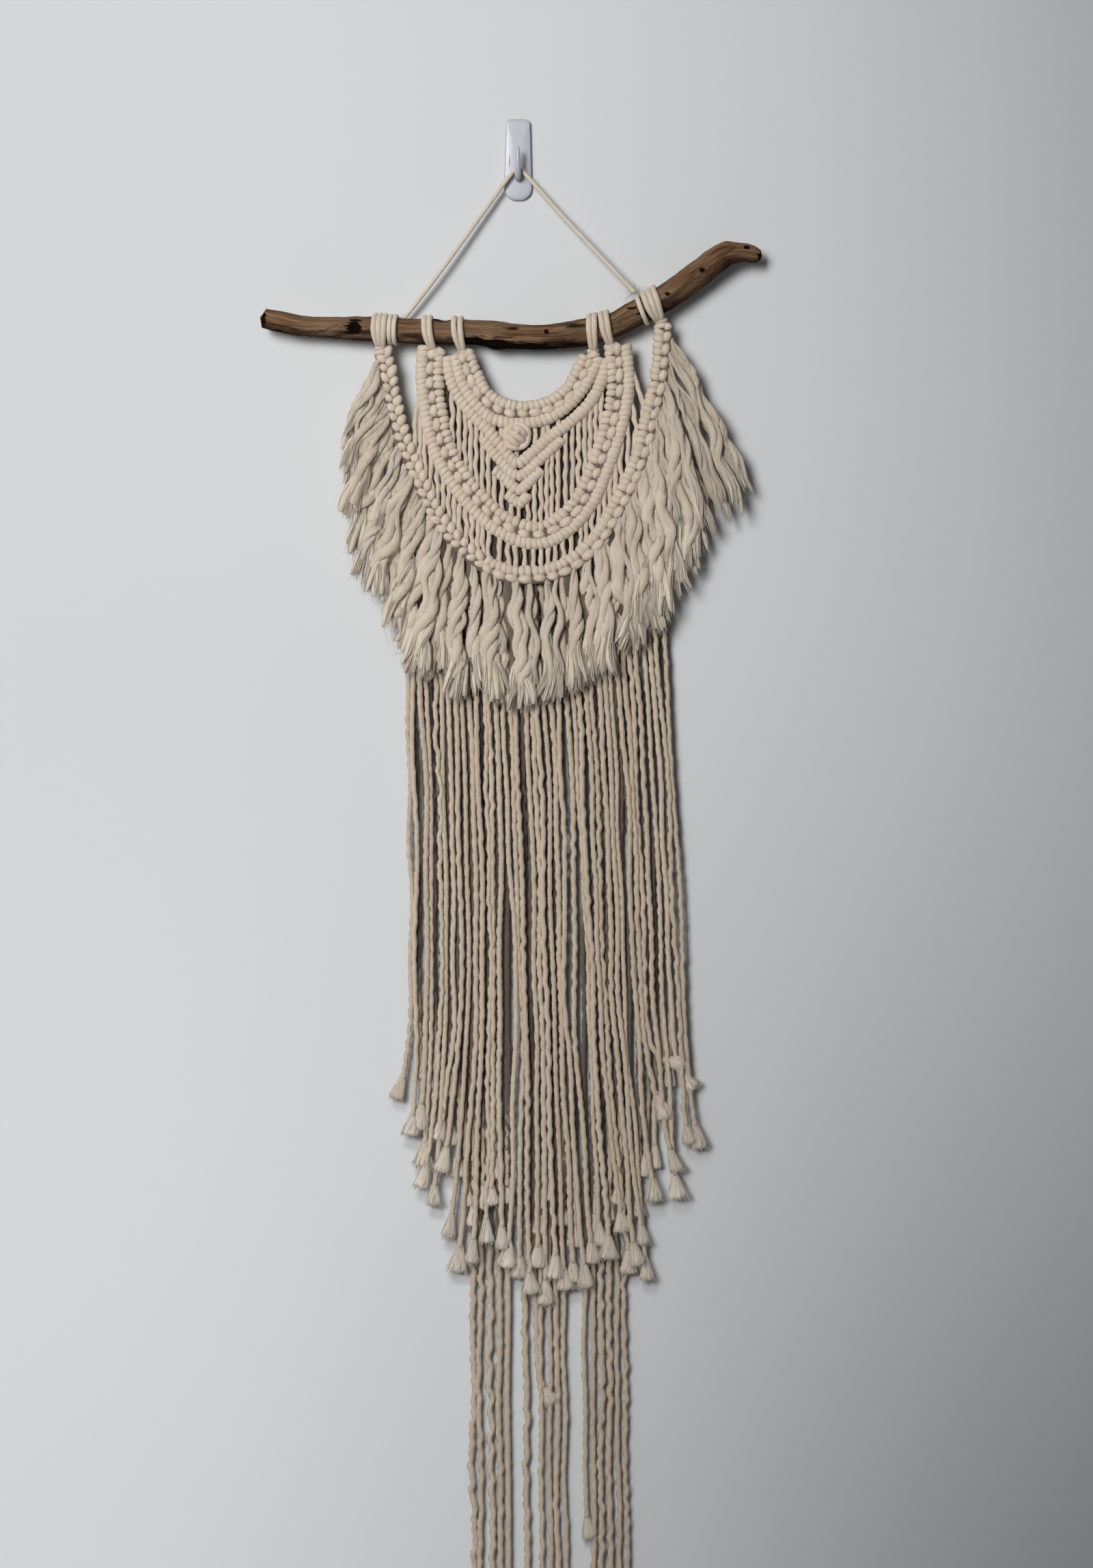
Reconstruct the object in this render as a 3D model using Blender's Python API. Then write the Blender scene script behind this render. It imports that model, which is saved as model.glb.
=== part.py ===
"""A macrame wall hanging: knotted cotton cord on a driftwood branch, hung from an adhesive wall hook.

The origin is the middle of the hook's back face, which sticks to the wall. X runs to the right, Z up,
and the wall is the plane y = 0 with everything in front of it, at y < 0. Tables are in millimetres.
"""

import math

import bmesh
import bpy
import numpy as np

MM = 0.001

# Wall hook, in metres: a back plate with an upturned prong.
PLATE_WIDTH_TOP = 0.0216
PLATE_WIDTH_BOTTOM = 0.0246
PLATE_HEIGHT = 0.072
PLATE_THICKNESS = 0.0036
PLATE_CORNER = 0.0095
PRONG_RADIUS = 0.0025
PRONG_ROUTE = ((-1.5, -15.5), (-5, -16), (-9, -16.2), (-13, -14.5), (-16.2, -10.5),
               (-17.8, -5), (-18.5, 0), (-18.9, 5))  # columns: y, z

# Cords, in metres.
CORD_RADIUS = 0.0027
HANGER_RADIUS = 0.002
WRAP_RADIUS = 0.0022
NET_RADIUS = 0.00195
TIP_RADIUS = 0.004
TIP_LENGTH = 0.020

# Depth of each layer in front of the wall, in metres.
BRANCH_Y = -0.0195
PANEL_Y = -0.0195
UPPER_Y = -0.0112
LOWER_Y = -0.0053
LOWER_STRIP_Y = -0.0064

# Knots, in metres.
SENNIT_RADIUS = 0.0077
SENNIT_PITCH = 0.009
SENNIT_DIP = 0.82
BAR_RADIUS = 0.0046
BAR_PITCH = 0.010
BAR_DIP = 0.84
BAR_OFFSET = 0.0102
PANEL_DEPTH = 0.72
HEAD_RADIUS = 0.0054
HEAD_GAP = 0.0006
LOOP_GAP = 0.0009
LOOP_POINTS = 10

# Columns: x, z, radius. The branch from its left end to its right end.
BRANCH = ((-223, -142.2, 8.4), (-210, -145.3, 9), (-184.8, -149.1, 8.7), (-142.8, -150.6, 10.1),
          (-115.8, -151.5, 10.5), (-94.8, -153.2, 10.9), (-64.8, -153.6, 10.8), (-34.8, -154.8, 10.8),
          (-19.8, -157.2, 11.6), (-0.6, -158.9, 10.8), (25.2, -159.3, 10.8), (49.2, -156.6, 11.7),
          (66, -152.6, 11.8), (85.2, -147.6, 10.9), (100.2, -139.5, 11.3), (121.2, -128.1, 11.4),
          (133.2, -121.3, 11.4), (157.2, -104.1, 11.8), (178.2, -88.2, 11.1), (187.2, -84.9, 9.9),
          (199.2, -84.3, 8.1), (208.2, -86.1, 6.6), (213, -86.7, 4.2))

# Columns: x, z. Centre lines of the knotted arcs, each from its left end to its right end.
COLLAR = ((-46, -171), (-39.6, -186.3), (-30.6, -205), (-15, -217), (4.2, -220.2), (25.2, -217),
          (43.2, -206), (54.5, -187.5), (62, -172))
SECOND_BAR = ((-63, -176), (-61.4, -192.3), (-54, -210.3), (-40.8, -225.9), (-27.6, -238.5),
              (-14, -255), (-0.6, -269.7), (13.2, -259.5), (28.2, -246.3), (43.2, -235.5),
              (57, -223.5), (68.4, -208.5), (75, -192.3), (77.5, -178))
CHEVRONS = (((-30, -248), (-16.8, -265.1), (1, -280.7), (19.2, -266.2), (39, -248)),
            ((-20.5, -275), (-9.6, -283.7), (1, -293.5), (11.5, -283.7), (21, -275)),
            ((-9, -296), (-2, -303), (3, -304), (9, -297)))
MIDDLE = ((-71, -168), (-73.2, -189.3), (-70.8, -216.3), (-64.8, -246.3), (-54, -271.5), (-36.6, -295.5),
          (-13.8, -317.7), (13.2, -328.6), (34.2, -322), (53.4, -302.7), (66, -276.3), (76.8, -246.3),
          (83.4, -219.3), (86, -195.3), (83.4, -167))
OUTER = ((-118, -172), (-114.6, -183.3), (-109.8, -210.3), (-99, -246.3), (-84.6, -282.3),
         (-66, -318.3), (-40.8, -345.9), (-13.8, -361.5), (13.2, -365.7), (40.2, -357.9), (66, -336.3),
         (87, -300.3), (103.8, -264.3), (115.2, -225.3), (123, -189.3), (126, -149))
BERRY = (-0.6, -246.3, 11.5)  # columns: x, z, radius

# Columns: x of the knot under the branch, x of each loop round the branch, the loops' lean in degrees.
LOOPS = ((-120, (-126.2, -121.6, -117), 2),
         (-72, (-80.2, -75.6), -5),
         (-47, (-54.2, -48.6), -5),
         (66, (64, 68.6), -3),
         (83, (75.4, 80.2), -10),
         (126, (114.6, 119, 123.4), -21))
HANGER_WRAPS = {"left": ((-111.2, -107), 2), "right": ((109.2,), -21)}
# Columns: x, y, z. The hanging cord's way from the left turns' back over the prong to the right turn's top.
HANGER = ((-104.1, -9.9, -141.6), (-97, -10.6, -137), (-66, -12.6, -97), (-34, -10.6, -52.5),
          (-6.5, -9.2, -14.1), (-3.4, -9.2, -11.3), (0, -9.2, -10.5), (3.4, -9.2, -11.2),
          (6.5, -9.2, -13.7), (40, -12.6, -51.8), (74, -16.6, -88.4), (102.3, -19.5, -118.8))
HANGER_STEP = 0.0078

# Upright cords of the two nets: their x.
UPPER_NET = (-57.6, -51.6, -46.2, -41.4, -36.6, -31.2, -25.8, -20.4, -13.8, -5.4, 0.6, 9, 14.7, 20.4,
             25.5, 30, 35.4, 42, 48, 53.4, 58.8, 63.6, 68.4, 73.2)
LOWER_NET = (-81.6, -76.2, -70.8, -65.4, -60.6, -55.8, -51, -45.6, -40.2, -35.4, -30.6, -25.8, -16.2,
             -8.4, -1.8, 6, 13.8, 20.4, 27, 33, 40.2, 46.8, 55.2, 60, 65.4, 71.4, 76.2, 81, 85.8, 90.6)
# Columns: x and z where the cord leaves the middle bar, then x lower down.
SIDE_CORDS = ((-84, -197, -90.5), (-83, -208, -86), (96, -200, 96.6), (97, -189, 103), (97, -178, 110))

# Columns: share of the way along the outer arc, then x and z of the lock's tip there.
FRINGE = ((0.0, -148, -250), (0.07, -151, -290), (0.14, -147, -366), (0.22, -121, -399),
          (0.30, -95, -455), (0.34, -71, -480), (0.40, -28, -485), (0.46, 3, -488), (0.52, 31, -483),
          (0.58, 61, -474), (0.64, 88, -450), (0.70, 110, -430), (0.76, 126, -411), (0.82, 140, -390),
          (0.88, 157, -366), (0.93, 173, -337), (0.97, 188, -321), (1.0, 203, -311))
LOCK_COUNT = 46
LOCK_WIDTH = 0.0068
LOCK_STEP_Y = 0.0078
STRIP_OFFSET = 0.0101
STRIP_RADIUS = 0.0024
CURTAIN_STRIP_RADIUS = 0.0036
CURTAIN_DEPTH = 0.6
STRIP_STEP = 0.017

# The upper curtain. Columns: x, z of each cord's frayed end, from left to right.
UPPER_TIPS = ((-101, -827), (-92, -860), (-86, -850), (-82, -884), (-80, -903), (-73, -921), (-67, -865),
              (-63, -888), (-58, -947), (-51, -976), (-40, -969), (-28, -951), (-23, -924), (-15, -957),
              (-8, -972), (2, -985), (10, -999), (18, -976), (25, -1005), (33, -983), (41, -997),
              (49, -990), (58, -991), (65, -972), (71, -955), (79, -966), (90, -945), (97, -979),
              (103, -972), (108, -957), (113, -985), (118, -915), (122, -842), (128, -811), (134, -890),
              (139, -913), (144, -821), (149, -869), (156, -869))
UPPER_SPAN = (-92, 138)
UPPER_BEND = (-582, -750)
UPPER_DRIFT = 6.5
STRAND_SHIFT = 0.00025
# The lower curtain. Columns: x high up, x and z of each cord's frayed end.
LOWER_TIPS = ((-40, -39, -1268), (-34, -33, -1297), (-27, -22, -1284), (-18, -15, -1312), (-10, -8, -1325),
              (5, 9, -1338), (11, 21, -1100), (18, 22, -1346), (27, 29, -1352), (32, 36, -1338),
              (38, 43, -1345), (58, 60, -1215), (66, 67, -1330), (73, 74, -1322), (79, 82, -1335),
              (85, 90, -1308), (91, 97, -1290))
LOWER_BEND = (-620, -1030)

COLOURS = {
    "hook_plastic": ((0.80, 0.82, 0.84, 1), 0.35),
    "driftwood": ((0.16, 0.10, 0.065, 1), 0.8),
    "cotton_cord": ((0.60, 0.50, 0.40, 1), 0.9),
    "hanging_cord": ((0.64, 0.56, 0.47, 1), 0.9),
}


def clear_scene():
    for obj in list(bpy.data.objects):
        bpy.data.objects.remove(obj, do_unlink=True)


def material(name):
    found = bpy.data.materials.get(name)
    if found:
        return found
    made = bpy.data.materials.new(name)
    made.use_nodes = True
    colour, roughness = COLOURS[name]
    shader = made.node_tree.nodes["Principled BSDF"]
    shader.inputs["Base Color"].default_value = colour
    shader.inputs["Roughness"].default_value = roughness
    shader.inputs["Metallic"].default_value = 0.0
    return made


def smooth_line(places, step):
    """Even steps along one smooth curve through a table's places, in metres."""
    places = np.array(places, float) * MM
    ends = (2 * places[0] - places[1], 2 * places[-1] - places[-2])
    places = np.vstack((ends[0], places, ends[1]))
    dense = []
    for before, start, end, after in zip(places, places[1:], places[2:], places[3:]):
        for t in np.arange(0, 1, 0.1):
            dense.append(start + 0.5 * t * (end - before + t * (
                2 * before - 5 * start + 4 * end - after + t * (3 * (start - end) + after - before))))
    dense = np.array([*dense, places[-2]])
    walked = np.concatenate(([0], np.cumsum(np.linalg.norm(np.diff(dense, axis=0), axis=1))))
    count = max(2, round(walked[-1] / step) + 1)
    at = np.linspace(0, walked[-1], count)
    return np.stack([np.interp(at, walked, column) for column in dense.T], axis=1)


def offset_line(line, distance):
    """The line moved sideways: to the outside of an arc that runs down, across and up again."""
    ahead = np.gradient(line, axis=0)
    ahead /= np.linalg.norm(ahead, axis=1)[:, None]
    return line + distance * np.stack((ahead[:, 1], -ahead[:, 0]), axis=1)


def height_at(line, x):
    """The lowest height at which a line of (x, z) points passes x, or None."""
    found = []
    for (x0, z0), (x1, z1) in zip(line, line[1:]):
        if (x0 - x) * (x1 - x) <= 0 and x0 != x1:
            found.append(z0 + (z1 - z0) * (x - x0) / (x1 - x0))
    return min(found) if found else None


def link(obj, collection, material_name):
    obj.data.materials.append(material(material_name))
    collection.objects.link(obj)
    return obj


def tube(name, routes, sides, cyclic=False, flatten=None):
    """One mesh object of closed tubes: a route is (x, y, z, radius) points, and flatten is (y, factor).

    The tubes are drawn with their depth stretched by 1 / factor and then pressed back, so that their
    sections come out flat and their middles stay where the routes say.
    """
    middle, factor = flatten or (0, 1)
    curve = bpy.data.curves.new(name, "CURVE")
    curve.dimensions = "3D"
    curve.bevel_depth = 1.0
    curve.bevel_resolution = (sides - 4) // 2
    curve.use_fill_caps = True
    for route in routes:
        spline = curve.splines.new("POLY")
        spline.points.add(len(route) - 1)
        spline.use_cyclic_u = cyclic
        for point, (x, y, z, radius) in zip(spline.points, route):
            point.co = (x, middle + (y - middle) / factor, z, 1)
            point.radius = radius
    guide = bpy.data.objects.new(name, curve)
    bpy.context.scene.collection.objects.link(guide)
    graph = bpy.context.evaluated_depsgraph_get()
    mesh = bpy.data.meshes.new_from_object(guide.evaluated_get(graph))
    bpy.data.objects.remove(guide)
    mesh.name = name
    shape = bmesh.new()
    shape.from_mesh(mesh)
    bmesh.ops.remove_doubles(shape, verts=shape.verts, dist=1e-6)
    for vertex in shape.verts:
        vertex.co.y = middle + (vertex.co.y - middle) * factor
    shape.to_mesh(mesh)
    shape.free()
    return bpy.data.objects.new(name, mesh)


def ball(name, centre, radius, flatten):
    """A low sphere, flattened front to back."""
    mesh = bpy.data.meshes.new(name)
    shape = bmesh.new()
    bmesh.ops.create_uvsphere(shape, u_segments=6, v_segments=5, radius=radius)
    bmesh.ops.scale(shape, vec=(1, flatten, 1), verts=shape.verts)
    bmesh.ops.translate(shape, vec=centre, verts=shape.verts)
    shape.to_mesh(mesh)
    shape.free()
    return bpy.data.objects.new(name, mesh)


def fuse(name, pieces, collection, material_name):
    """One closed solid: the Boolean union of the pieces, which are then removed."""
    base, others = pieces[0], pieces[1:]
    tools = bpy.data.collections.new(name + "_pieces")
    bpy.context.scene.collection.children.link(tools)
    for piece in pieces:
        tools.objects.link(piece)
    tools.objects.unlink(base)
    bpy.context.scene.collection.objects.link(base)
    union = base.modifiers.new("union", "BOOLEAN")
    union.operation = "UNION"
    union.operand_type = "COLLECTION"
    union.collection = tools
    graph = bpy.context.evaluated_depsgraph_get()
    mesh = bpy.data.meshes.new_from_object(base.evaluated_get(graph))
    mesh.name = name
    mesh.materials.clear()
    for piece in [base, *others]:
        bpy.data.objects.remove(piece)
    bpy.data.collections.remove(tools)
    return link(bpy.data.objects.new(name, mesh), collection, material_name)


def plate_outline():
    """Round-cornered outline of the hook's plate, a little wider at the bottom."""
    half = PLATE_HEIGHT / 2
    corners = ((PLATE_WIDTH_TOP / 2, half, 0), (-PLATE_WIDTH_TOP / 2, half, 90),
               (-PLATE_WIDTH_BOTTOM / 2, -half, 180), (PLATE_WIDTH_BOTTOM / 2, -half, 270))
    points = []
    for x, z, start in corners:
        centre_x = x - math.copysign(PLATE_CORNER, x)
        centre_z = z - math.copysign(PLATE_CORNER, z)
        for degrees in range(start, start + 91, 15):
            angle = math.radians(degrees)
            points.append((centre_x + PLATE_CORNER * math.cos(angle), centre_z + PLATE_CORNER * math.sin(angle)))
    return points


def make_hook(collection):
    outline = bpy.data.curves.new("plate", "CURVE")
    outline.dimensions = "2D"
    outline.fill_mode = "BOTH"
    outline.extrude = PLATE_THICKNESS / 2
    spline = outline.splines.new("POLY")
    points = plate_outline()
    spline.points.add(len(points) - 1)
    for point, (x, z) in zip(spline.points, points):
        point.co = (x, z, 0, 1)
    spline.use_cyclic_u = True
    guide = bpy.data.objects.new("plate", outline)
    guide.rotation_euler = (math.pi / 2, 0, 0)
    guide.location = (0, -PLATE_THICKNESS / 2, 0)
    bpy.context.scene.collection.objects.link(guide)
    bpy.context.view_layer.update()
    graph = bpy.context.evaluated_depsgraph_get()
    mesh = bpy.data.meshes.new_from_object(guide.evaluated_get(graph))
    mesh.transform(guide.matrix_world)
    bpy.data.objects.remove(guide)
    shape = bmesh.new()
    shape.from_mesh(mesh)
    bmesh.ops.remove_doubles(shape, verts=shape.verts, dist=1e-6)
    bmesh.ops.recalc_face_normals(shape, faces=shape.faces)
    shape.to_mesh(mesh)
    shape.free()
    plate = bpy.data.objects.new("plate", mesh)
    route = [(0, y, z, PRONG_RADIUS) for y, z in smooth_line(PRONG_ROUTE, 0.0032)]
    route[-1] = (*route[-1][:3], PRONG_RADIUS * 0.75)
    fuse("wall_hook", [plate, tube("prong", [route], 8)], collection, "hook_plastic")


def branch_at(x):
    """Height, radius and slope of the branch at x."""
    table = np.array(BRANCH) * MM
    height = np.interp(x, table[:, 0], table[:, 1])
    radius = np.interp(x, table[:, 0], table[:, 2])
    reach = 0.008
    rise = np.interp(x + reach, table[:, 0], table[:, 1]) - np.interp(x - reach, table[:, 0], table[:, 1])
    return height, radius, math.atan2(rise, 2 * reach)


def make_branch(collection):
    line = smooth_line(BRANCH, 0.018)
    route = [(x, BRANCH_Y, z, radius) for x, z, radius in line]
    link(tube("branch", [route], 10), collection, "driftwood")


def branch_loop(x, lean, cord_radius):
    """A turn of cord round the branch, leaning sideways by lean degrees."""
    height, radius, slope = branch_at(x)
    lean = math.radians(lean)
    across = radius + LOOP_GAP + cord_radius
    up = across / math.cos(slope + lean)
    route = []
    for turn in np.arange(LOOP_POINTS) * 2 * math.pi / LOOP_POINTS:
        rise = up * math.sin(turn)
        route.append((x + rise * math.sin(lean), BRANCH_Y - across * math.cos(turn),
                      height + rise * math.cos(lean), cord_radius))
    return route


def make_hanger(collection):
    for side, (places, lean) in HANGER_WRAPS.items():
        loops = [tube("loop", [branch_loop(x * MM, lean, WRAP_RADIUS)], 6, cyclic=True) for x in places]
        if len(loops) > 1:
            fuse("hanger_wrap_" + side, loops, collection, "hanging_cord")
        else:
            loops[0].name = "hanger_wrap_" + side
            link(loops[0], collection, "hanging_cord")
    line = smooth_line(HANGER, HANGER_STEP)
    route = [(x, y, z, HANGER_RADIUS) for x, y, z in line]
    link(tube("hanging_cord", [route], 8), collection, "hanging_cord")


def ridged(line, radius, dip):
    """A tube along the line whose sections swell and dip in turn, one swell for each knot."""
    return [(x, PANEL_Y, z, radius * (dip if i % 2 else 1)) for i, (x, z) in enumerate(line)]


def sennit(places):
    line = smooth_line(places, SENNIT_PITCH / 2)
    return tube("sennit", [ridged(line, SENNIT_RADIUS, SENNIT_DIP)], 6, flatten=(PANEL_Y, PANEL_DEPTH))


def hitched_bar(line):
    return tube("bar", [ridged(line, BAR_RADIUS, BAR_DIP)], 6)


def upright(x, top, bottom, lower_x=None):
    lower_x = x if lower_x is None else lower_x
    route = [(x, PANEL_Y, top, NET_RADIUS), (lower_x, PANEL_Y, bottom, NET_RADIUS)]
    if lower_x != x:
        route.insert(1, (lower_x, PANEL_Y, (top + bottom) / 2, NET_RADIUS))
    return tube("upright", [route], 4)


def make_panel(collection):
    step = BAR_PITCH / 2
    middle = smooth_line(MIDDLE, SENNIT_PITCH / 2)
    outer = smooth_line(OUTER, SENNIT_PITCH / 2)
    middle_bar = offset_line(smooth_line(MIDDLE, step), BAR_OFFSET)
    collar_bar = offset_line(smooth_line(COLLAR, step), BAR_OFFSET)
    second_bar = smooth_line(SECOND_BAR, step)
    chevrons = [smooth_line(places, step) for places in CHEVRONS]
    pieces = [sennit(places) for places in (OUTER, MIDDLE, COLLAR)]
    pieces += [hitched_bar(line) for line in (middle_bar, collar_bar, second_bar, *chevrons)]
    for x in np.array(UPPER_NET) * MM:
        above = min(z for z in (height_at(line, x) for line in (second_bar, *chevrons)) if z is not None)
        pieces.append(upright(x, above, height_at(middle, x)))
    for x in np.array(LOWER_NET) * MM:
        pieces.append(upright(x, height_at(middle_bar, x), height_at(outer, x)))
    for x, top, lower_x in np.array(SIDE_CORDS) * MM:
        pieces.append(upright(x, top, height_at(outer, lower_x), lower_x))
    berry_x, berry_z, berry_radius = np.array(BERRY) * MM
    pieces.append(ball("berry", (berry_x, PANEL_Y, berry_z), berry_radius, PANEL_DEPTH))
    pieces.append(upright(berry_x, height_at(collar_bar, berry_x), height_at(second_bar, berry_x)))
    for head_x, loops, lean in LOOPS:
        height, radius, slope = branch_at(head_x * MM)
        head_z = height - radius / math.cos(slope) - HEAD_RADIUS - HEAD_GAP
        pieces.append(ball("head", (head_x * MM, PANEL_Y, head_z), HEAD_RADIUS, PANEL_DEPTH))
        for x in loops:
            pieces.append(tube("loop", [branch_loop(x * MM, lean, CORD_RADIUS)], 4, cyclic=True))
    fuse("knotted_panel", pieces, collection, "cotton_cord")


def fringe_lock(root, tip, out, width):
    """A brushed-out lock: it swells below its root, swings out and hangs to a thinner tip."""
    rings = ((0, 0.35, 0), (0.16, 0.85, 0.8), (0.5, 1, 1), (1, 0.55, 0.7))
    route = []
    for share, swell, forward in rings:
        swing = 1 - (1 - share) ** 1.35
        wave = 0.0016 * math.sin(7 * share + 900 * root[0])
        route.append((root[0] + (tip[0] - root[0]) * swing + wave * share, PANEL_Y - out * forward,
                      root[1] + (tip[1] - root[1]) * share, width * swell))
    return route


def make_fringe(collection):
    strip_line = offset_line(smooth_line(OUTER, STRIP_STEP), STRIP_OFFSET)
    strip = tube("strip", [[(x, PANEL_Y, z, STRIP_RADIUS) for x, z in strip_line]], 4)
    shares, tips_x, tips_z = np.array(FRINGE).T
    pieces = [strip]
    for i in range(LOCK_COUNT):
        share = i / (LOCK_COUNT - 1)
        along = 0.01 + 0.98 * share
        at = along * (len(strip_line) - 1)
        root = [np.interp(at, range(len(strip_line)), column) for column in strip_line.T]
        uneven = 0.006 * math.sin(2.4 * i)
        tip = (np.interp(share, shares, tips_x) * MM, np.interp(share, shares, tips_z) * MM + uneven)
        out = 0.0012 + LOCK_STEP_Y * (i % 2)
        route = fringe_lock(root, tip, out, LOCK_WIDTH)
        pieces.append(tube("lock", [route], 4, flatten=(PANEL_Y - out, 0.62)))
    fuse("fringe", pieces, collection, "cotton_cord")


def hanging_strand(points, y):
    """A cord that hangs through the (x, z) points and ends in a flared tip."""
    (x0, z0), (x1, z1) = points[-2:]
    length = math.hypot(x1 - x0, z1 - z0)
    start = (x1 - (x1 - x0) * TIP_LENGTH / length, z1 - (z1 - z0) * TIP_LENGTH / length)
    route = [(x, y, z, CORD_RADIUS) for x, z in (*points[:-1], start)]
    return [*route, (x1, y, z1, TIP_RADIUS)]


def make_upper_curtain(collection):
    line = smooth_line(OUTER, STRIP_STEP)
    inner = line[(line[:, 0] > -0.105) & (line[:, 1] < -0.215)]
    flatten = (UPPER_Y, CURTAIN_DEPTH)
    strip = tube("strip", [[(x, UPPER_Y, z, CURTAIN_STRIP_RADIUS) for x, z in inner]], 4, flatten=flatten)
    pieces = [strip]
    last = len(UPPER_TIPS) - 1
    root_left, root_right = inner[0, 0] + 0.001, inner[-1, 0] - 0.001
    for i, (tip_x, tip_z) in enumerate(UPPER_TIPS):
        share = i / last
        root_x = root_left + (root_right - root_left) * share
        high_x = (UPPER_SPAN[0] + (UPPER_SPAN[1] - UPPER_SPAN[0]) * share) * MM
        points = [(root_x, height_at(inner, root_x)), (high_x, UPPER_BEND[0] * MM),
                  (high_x + UPPER_DRIFT * MM, UPPER_BEND[1] * MM), (tip_x * MM, tip_z * MM)]
        depth = UPPER_Y + STRAND_SHIFT * (i % 3 - 1)
        pieces.append(tube("strand", [hanging_strand(points, depth)], 4, flatten=flatten))
    fuse("long_strands", pieces, collection, "cotton_cord")


def make_lower_curtain(collection):
    line = smooth_line(OUTER, STRIP_STEP)
    inner = line[(line[:, 0] > -0.052) & (line[:, 0] < 0.098) & (line[:, 1] < -0.25)]
    route = [(x, LOWER_STRIP_Y, z, CURTAIN_STRIP_RADIUS) for x, z in inner]
    strip = tube("strip", [route], 4, flatten=(LOWER_STRIP_Y, CURTAIN_DEPTH))
    pieces = [strip]
    for i, (high_x, tip_x, tip_z) in enumerate(np.array(LOWER_TIPS) * MM):
        points = [(high_x, height_at(inner, high_x)), (high_x, LOWER_BEND[0] * MM),
                  ((high_x + tip_x) / 2, LOWER_BEND[1] * MM), (tip_x, tip_z)]
        depth = LOWER_Y + STRAND_SHIFT * (i % 3 - 1)
        pieces.append(tube("strand", [hanging_strand(points, depth)], 4, flatten=(LOWER_Y, CURTAIN_DEPTH)))
    fuse("lower_strands", pieces, collection, "cotton_cord")


def shade_round():
    for obj in bpy.data.objects:
        obj.data.shade_smooth()
        obj.data.set_sharp_from_angle(angle=math.radians(40))


def main():
    clear_scene()
    collection = bpy.data.collections.new("macrame_wall_hanging")
    bpy.context.scene.collection.children.link(collection)
    make_hook(collection)
    make_branch(collection)
    make_hanger(collection)
    make_panel(collection)
    make_fringe(collection)
    make_upper_curtain(collection)
    make_lower_curtain(collection)
    shade_round()


main()
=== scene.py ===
import math

import bpy
import numpy as np
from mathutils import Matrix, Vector, noise


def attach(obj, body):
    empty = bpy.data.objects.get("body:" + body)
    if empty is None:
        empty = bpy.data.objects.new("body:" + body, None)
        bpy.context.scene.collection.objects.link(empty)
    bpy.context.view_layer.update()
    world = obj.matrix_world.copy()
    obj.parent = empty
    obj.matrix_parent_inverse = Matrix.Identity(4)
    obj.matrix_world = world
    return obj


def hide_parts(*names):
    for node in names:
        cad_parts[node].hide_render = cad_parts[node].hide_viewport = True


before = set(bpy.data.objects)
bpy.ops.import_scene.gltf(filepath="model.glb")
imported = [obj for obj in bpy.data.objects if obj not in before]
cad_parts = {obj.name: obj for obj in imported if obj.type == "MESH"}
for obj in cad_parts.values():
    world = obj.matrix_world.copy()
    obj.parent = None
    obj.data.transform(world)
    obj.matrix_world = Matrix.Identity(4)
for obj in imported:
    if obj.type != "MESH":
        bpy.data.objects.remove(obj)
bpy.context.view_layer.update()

mm = 0.001
dice = np.random.default_rng(41)
panelY = -19.5 * mm  # depth of the knotted panel in front of the wall

print("camera")
view = {"lens": 100, "sensor": 36, "near": 0.05, "place": (0.0252, -3.8462, -0.5511)}


def makeCamera():
    data = bpy.data.cameras.new("viewCamera")
    data.lens = view["lens"]
    data.sensor_width = view["sensor"]
    data.clip_start = view["near"]
    camera = bpy.data.objects.new("viewCamera", data)
    camera.location = view["place"]
    camera.rotation_euler = (math.pi / 2, 0, 0)
    bpy.context.scene.collection.objects.link(camera)
    bpy.context.scene.camera = camera


makeCamera()


def smoothLine(places, step):
    # even steps along one smooth curve through a table's rows, millimetres in and metres out
    rows = np.array(places, float) * mm
    rows = np.vstack((2 * rows[0] - rows[1], rows, 2 * rows[-1] - rows[-2]))
    dense = []
    for before, start, end, after in zip(rows, rows[1:], rows[2:], rows[3:]):
        for t in np.arange(0, 1, 0.1):
            dense.append(start + 0.5 * t * (end - before + t * (
                2 * before - 5 * start + 4 * end - after + t * (3 * (start - end) + after - before))))
    dense = np.array([*dense, rows[-2]])
    return evenSteps(dense, step)


def evenSteps(line, step):
    walked = walkedLength(line)
    at = np.linspace(0, walked[-1], max(3, round(walked[-1] / step) + 1))
    return np.stack([np.interp(at, walked, column) for column in line.T], axis=1)


def walkedLength(line):
    return np.concatenate(([0], np.cumsum(np.linalg.norm(np.diff(line, axis=0), axis=1))))


def unit(rows):
    return rows / np.maximum(np.linalg.norm(rows, axis=-1, keepdims=True), 1e-12)


def rowsOf(x, y, z):
    return np.stack(np.broadcast_arrays(x, y, z), axis=1)


def beside(side, front, aside, forward):
    # steps away from a line, along its own sideways and forward directions
    return side * np.asarray(aside)[:, None] + front * np.asarray(forward)[:, None]


def offsetLine(line, distance):
    # sideways, to the outside of an arc that runs down, across and up again
    ahead = unit(np.gradient(line, axis=0))
    return line + distance * np.stack((ahead[:, 1], -ahead[:, 0]), axis=1)


def heightAt(line, x):
    # the lowest height at which an arc passes x, or None
    found = []
    for (x0, z0), (x1, z1) in zip(line, line[1:]):
        if (x0 - x) * (x1 - x) <= 0 and x0 != x1:
            found.append(z0 + (z1 - z0) * (x - x0) / (x1 - x0))
    return min(found) if found else None


def wander(along, waves, amount):
    # a smooth random wave: waves is the shortest and longest wavelength in metres
    total = np.zeros_like(along)
    for _ in range(4):
        length = dice.uniform(*waves)
        total += dice.uniform(0.4, 1) * np.sin(2 * math.pi * (along / length + dice.uniform()))
    return total * amount / 2


def newStore():
    return {"points": [], "corners": [], "sizes": [], "uvs": [], "tonesAndShades": [], "count": 0}


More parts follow.
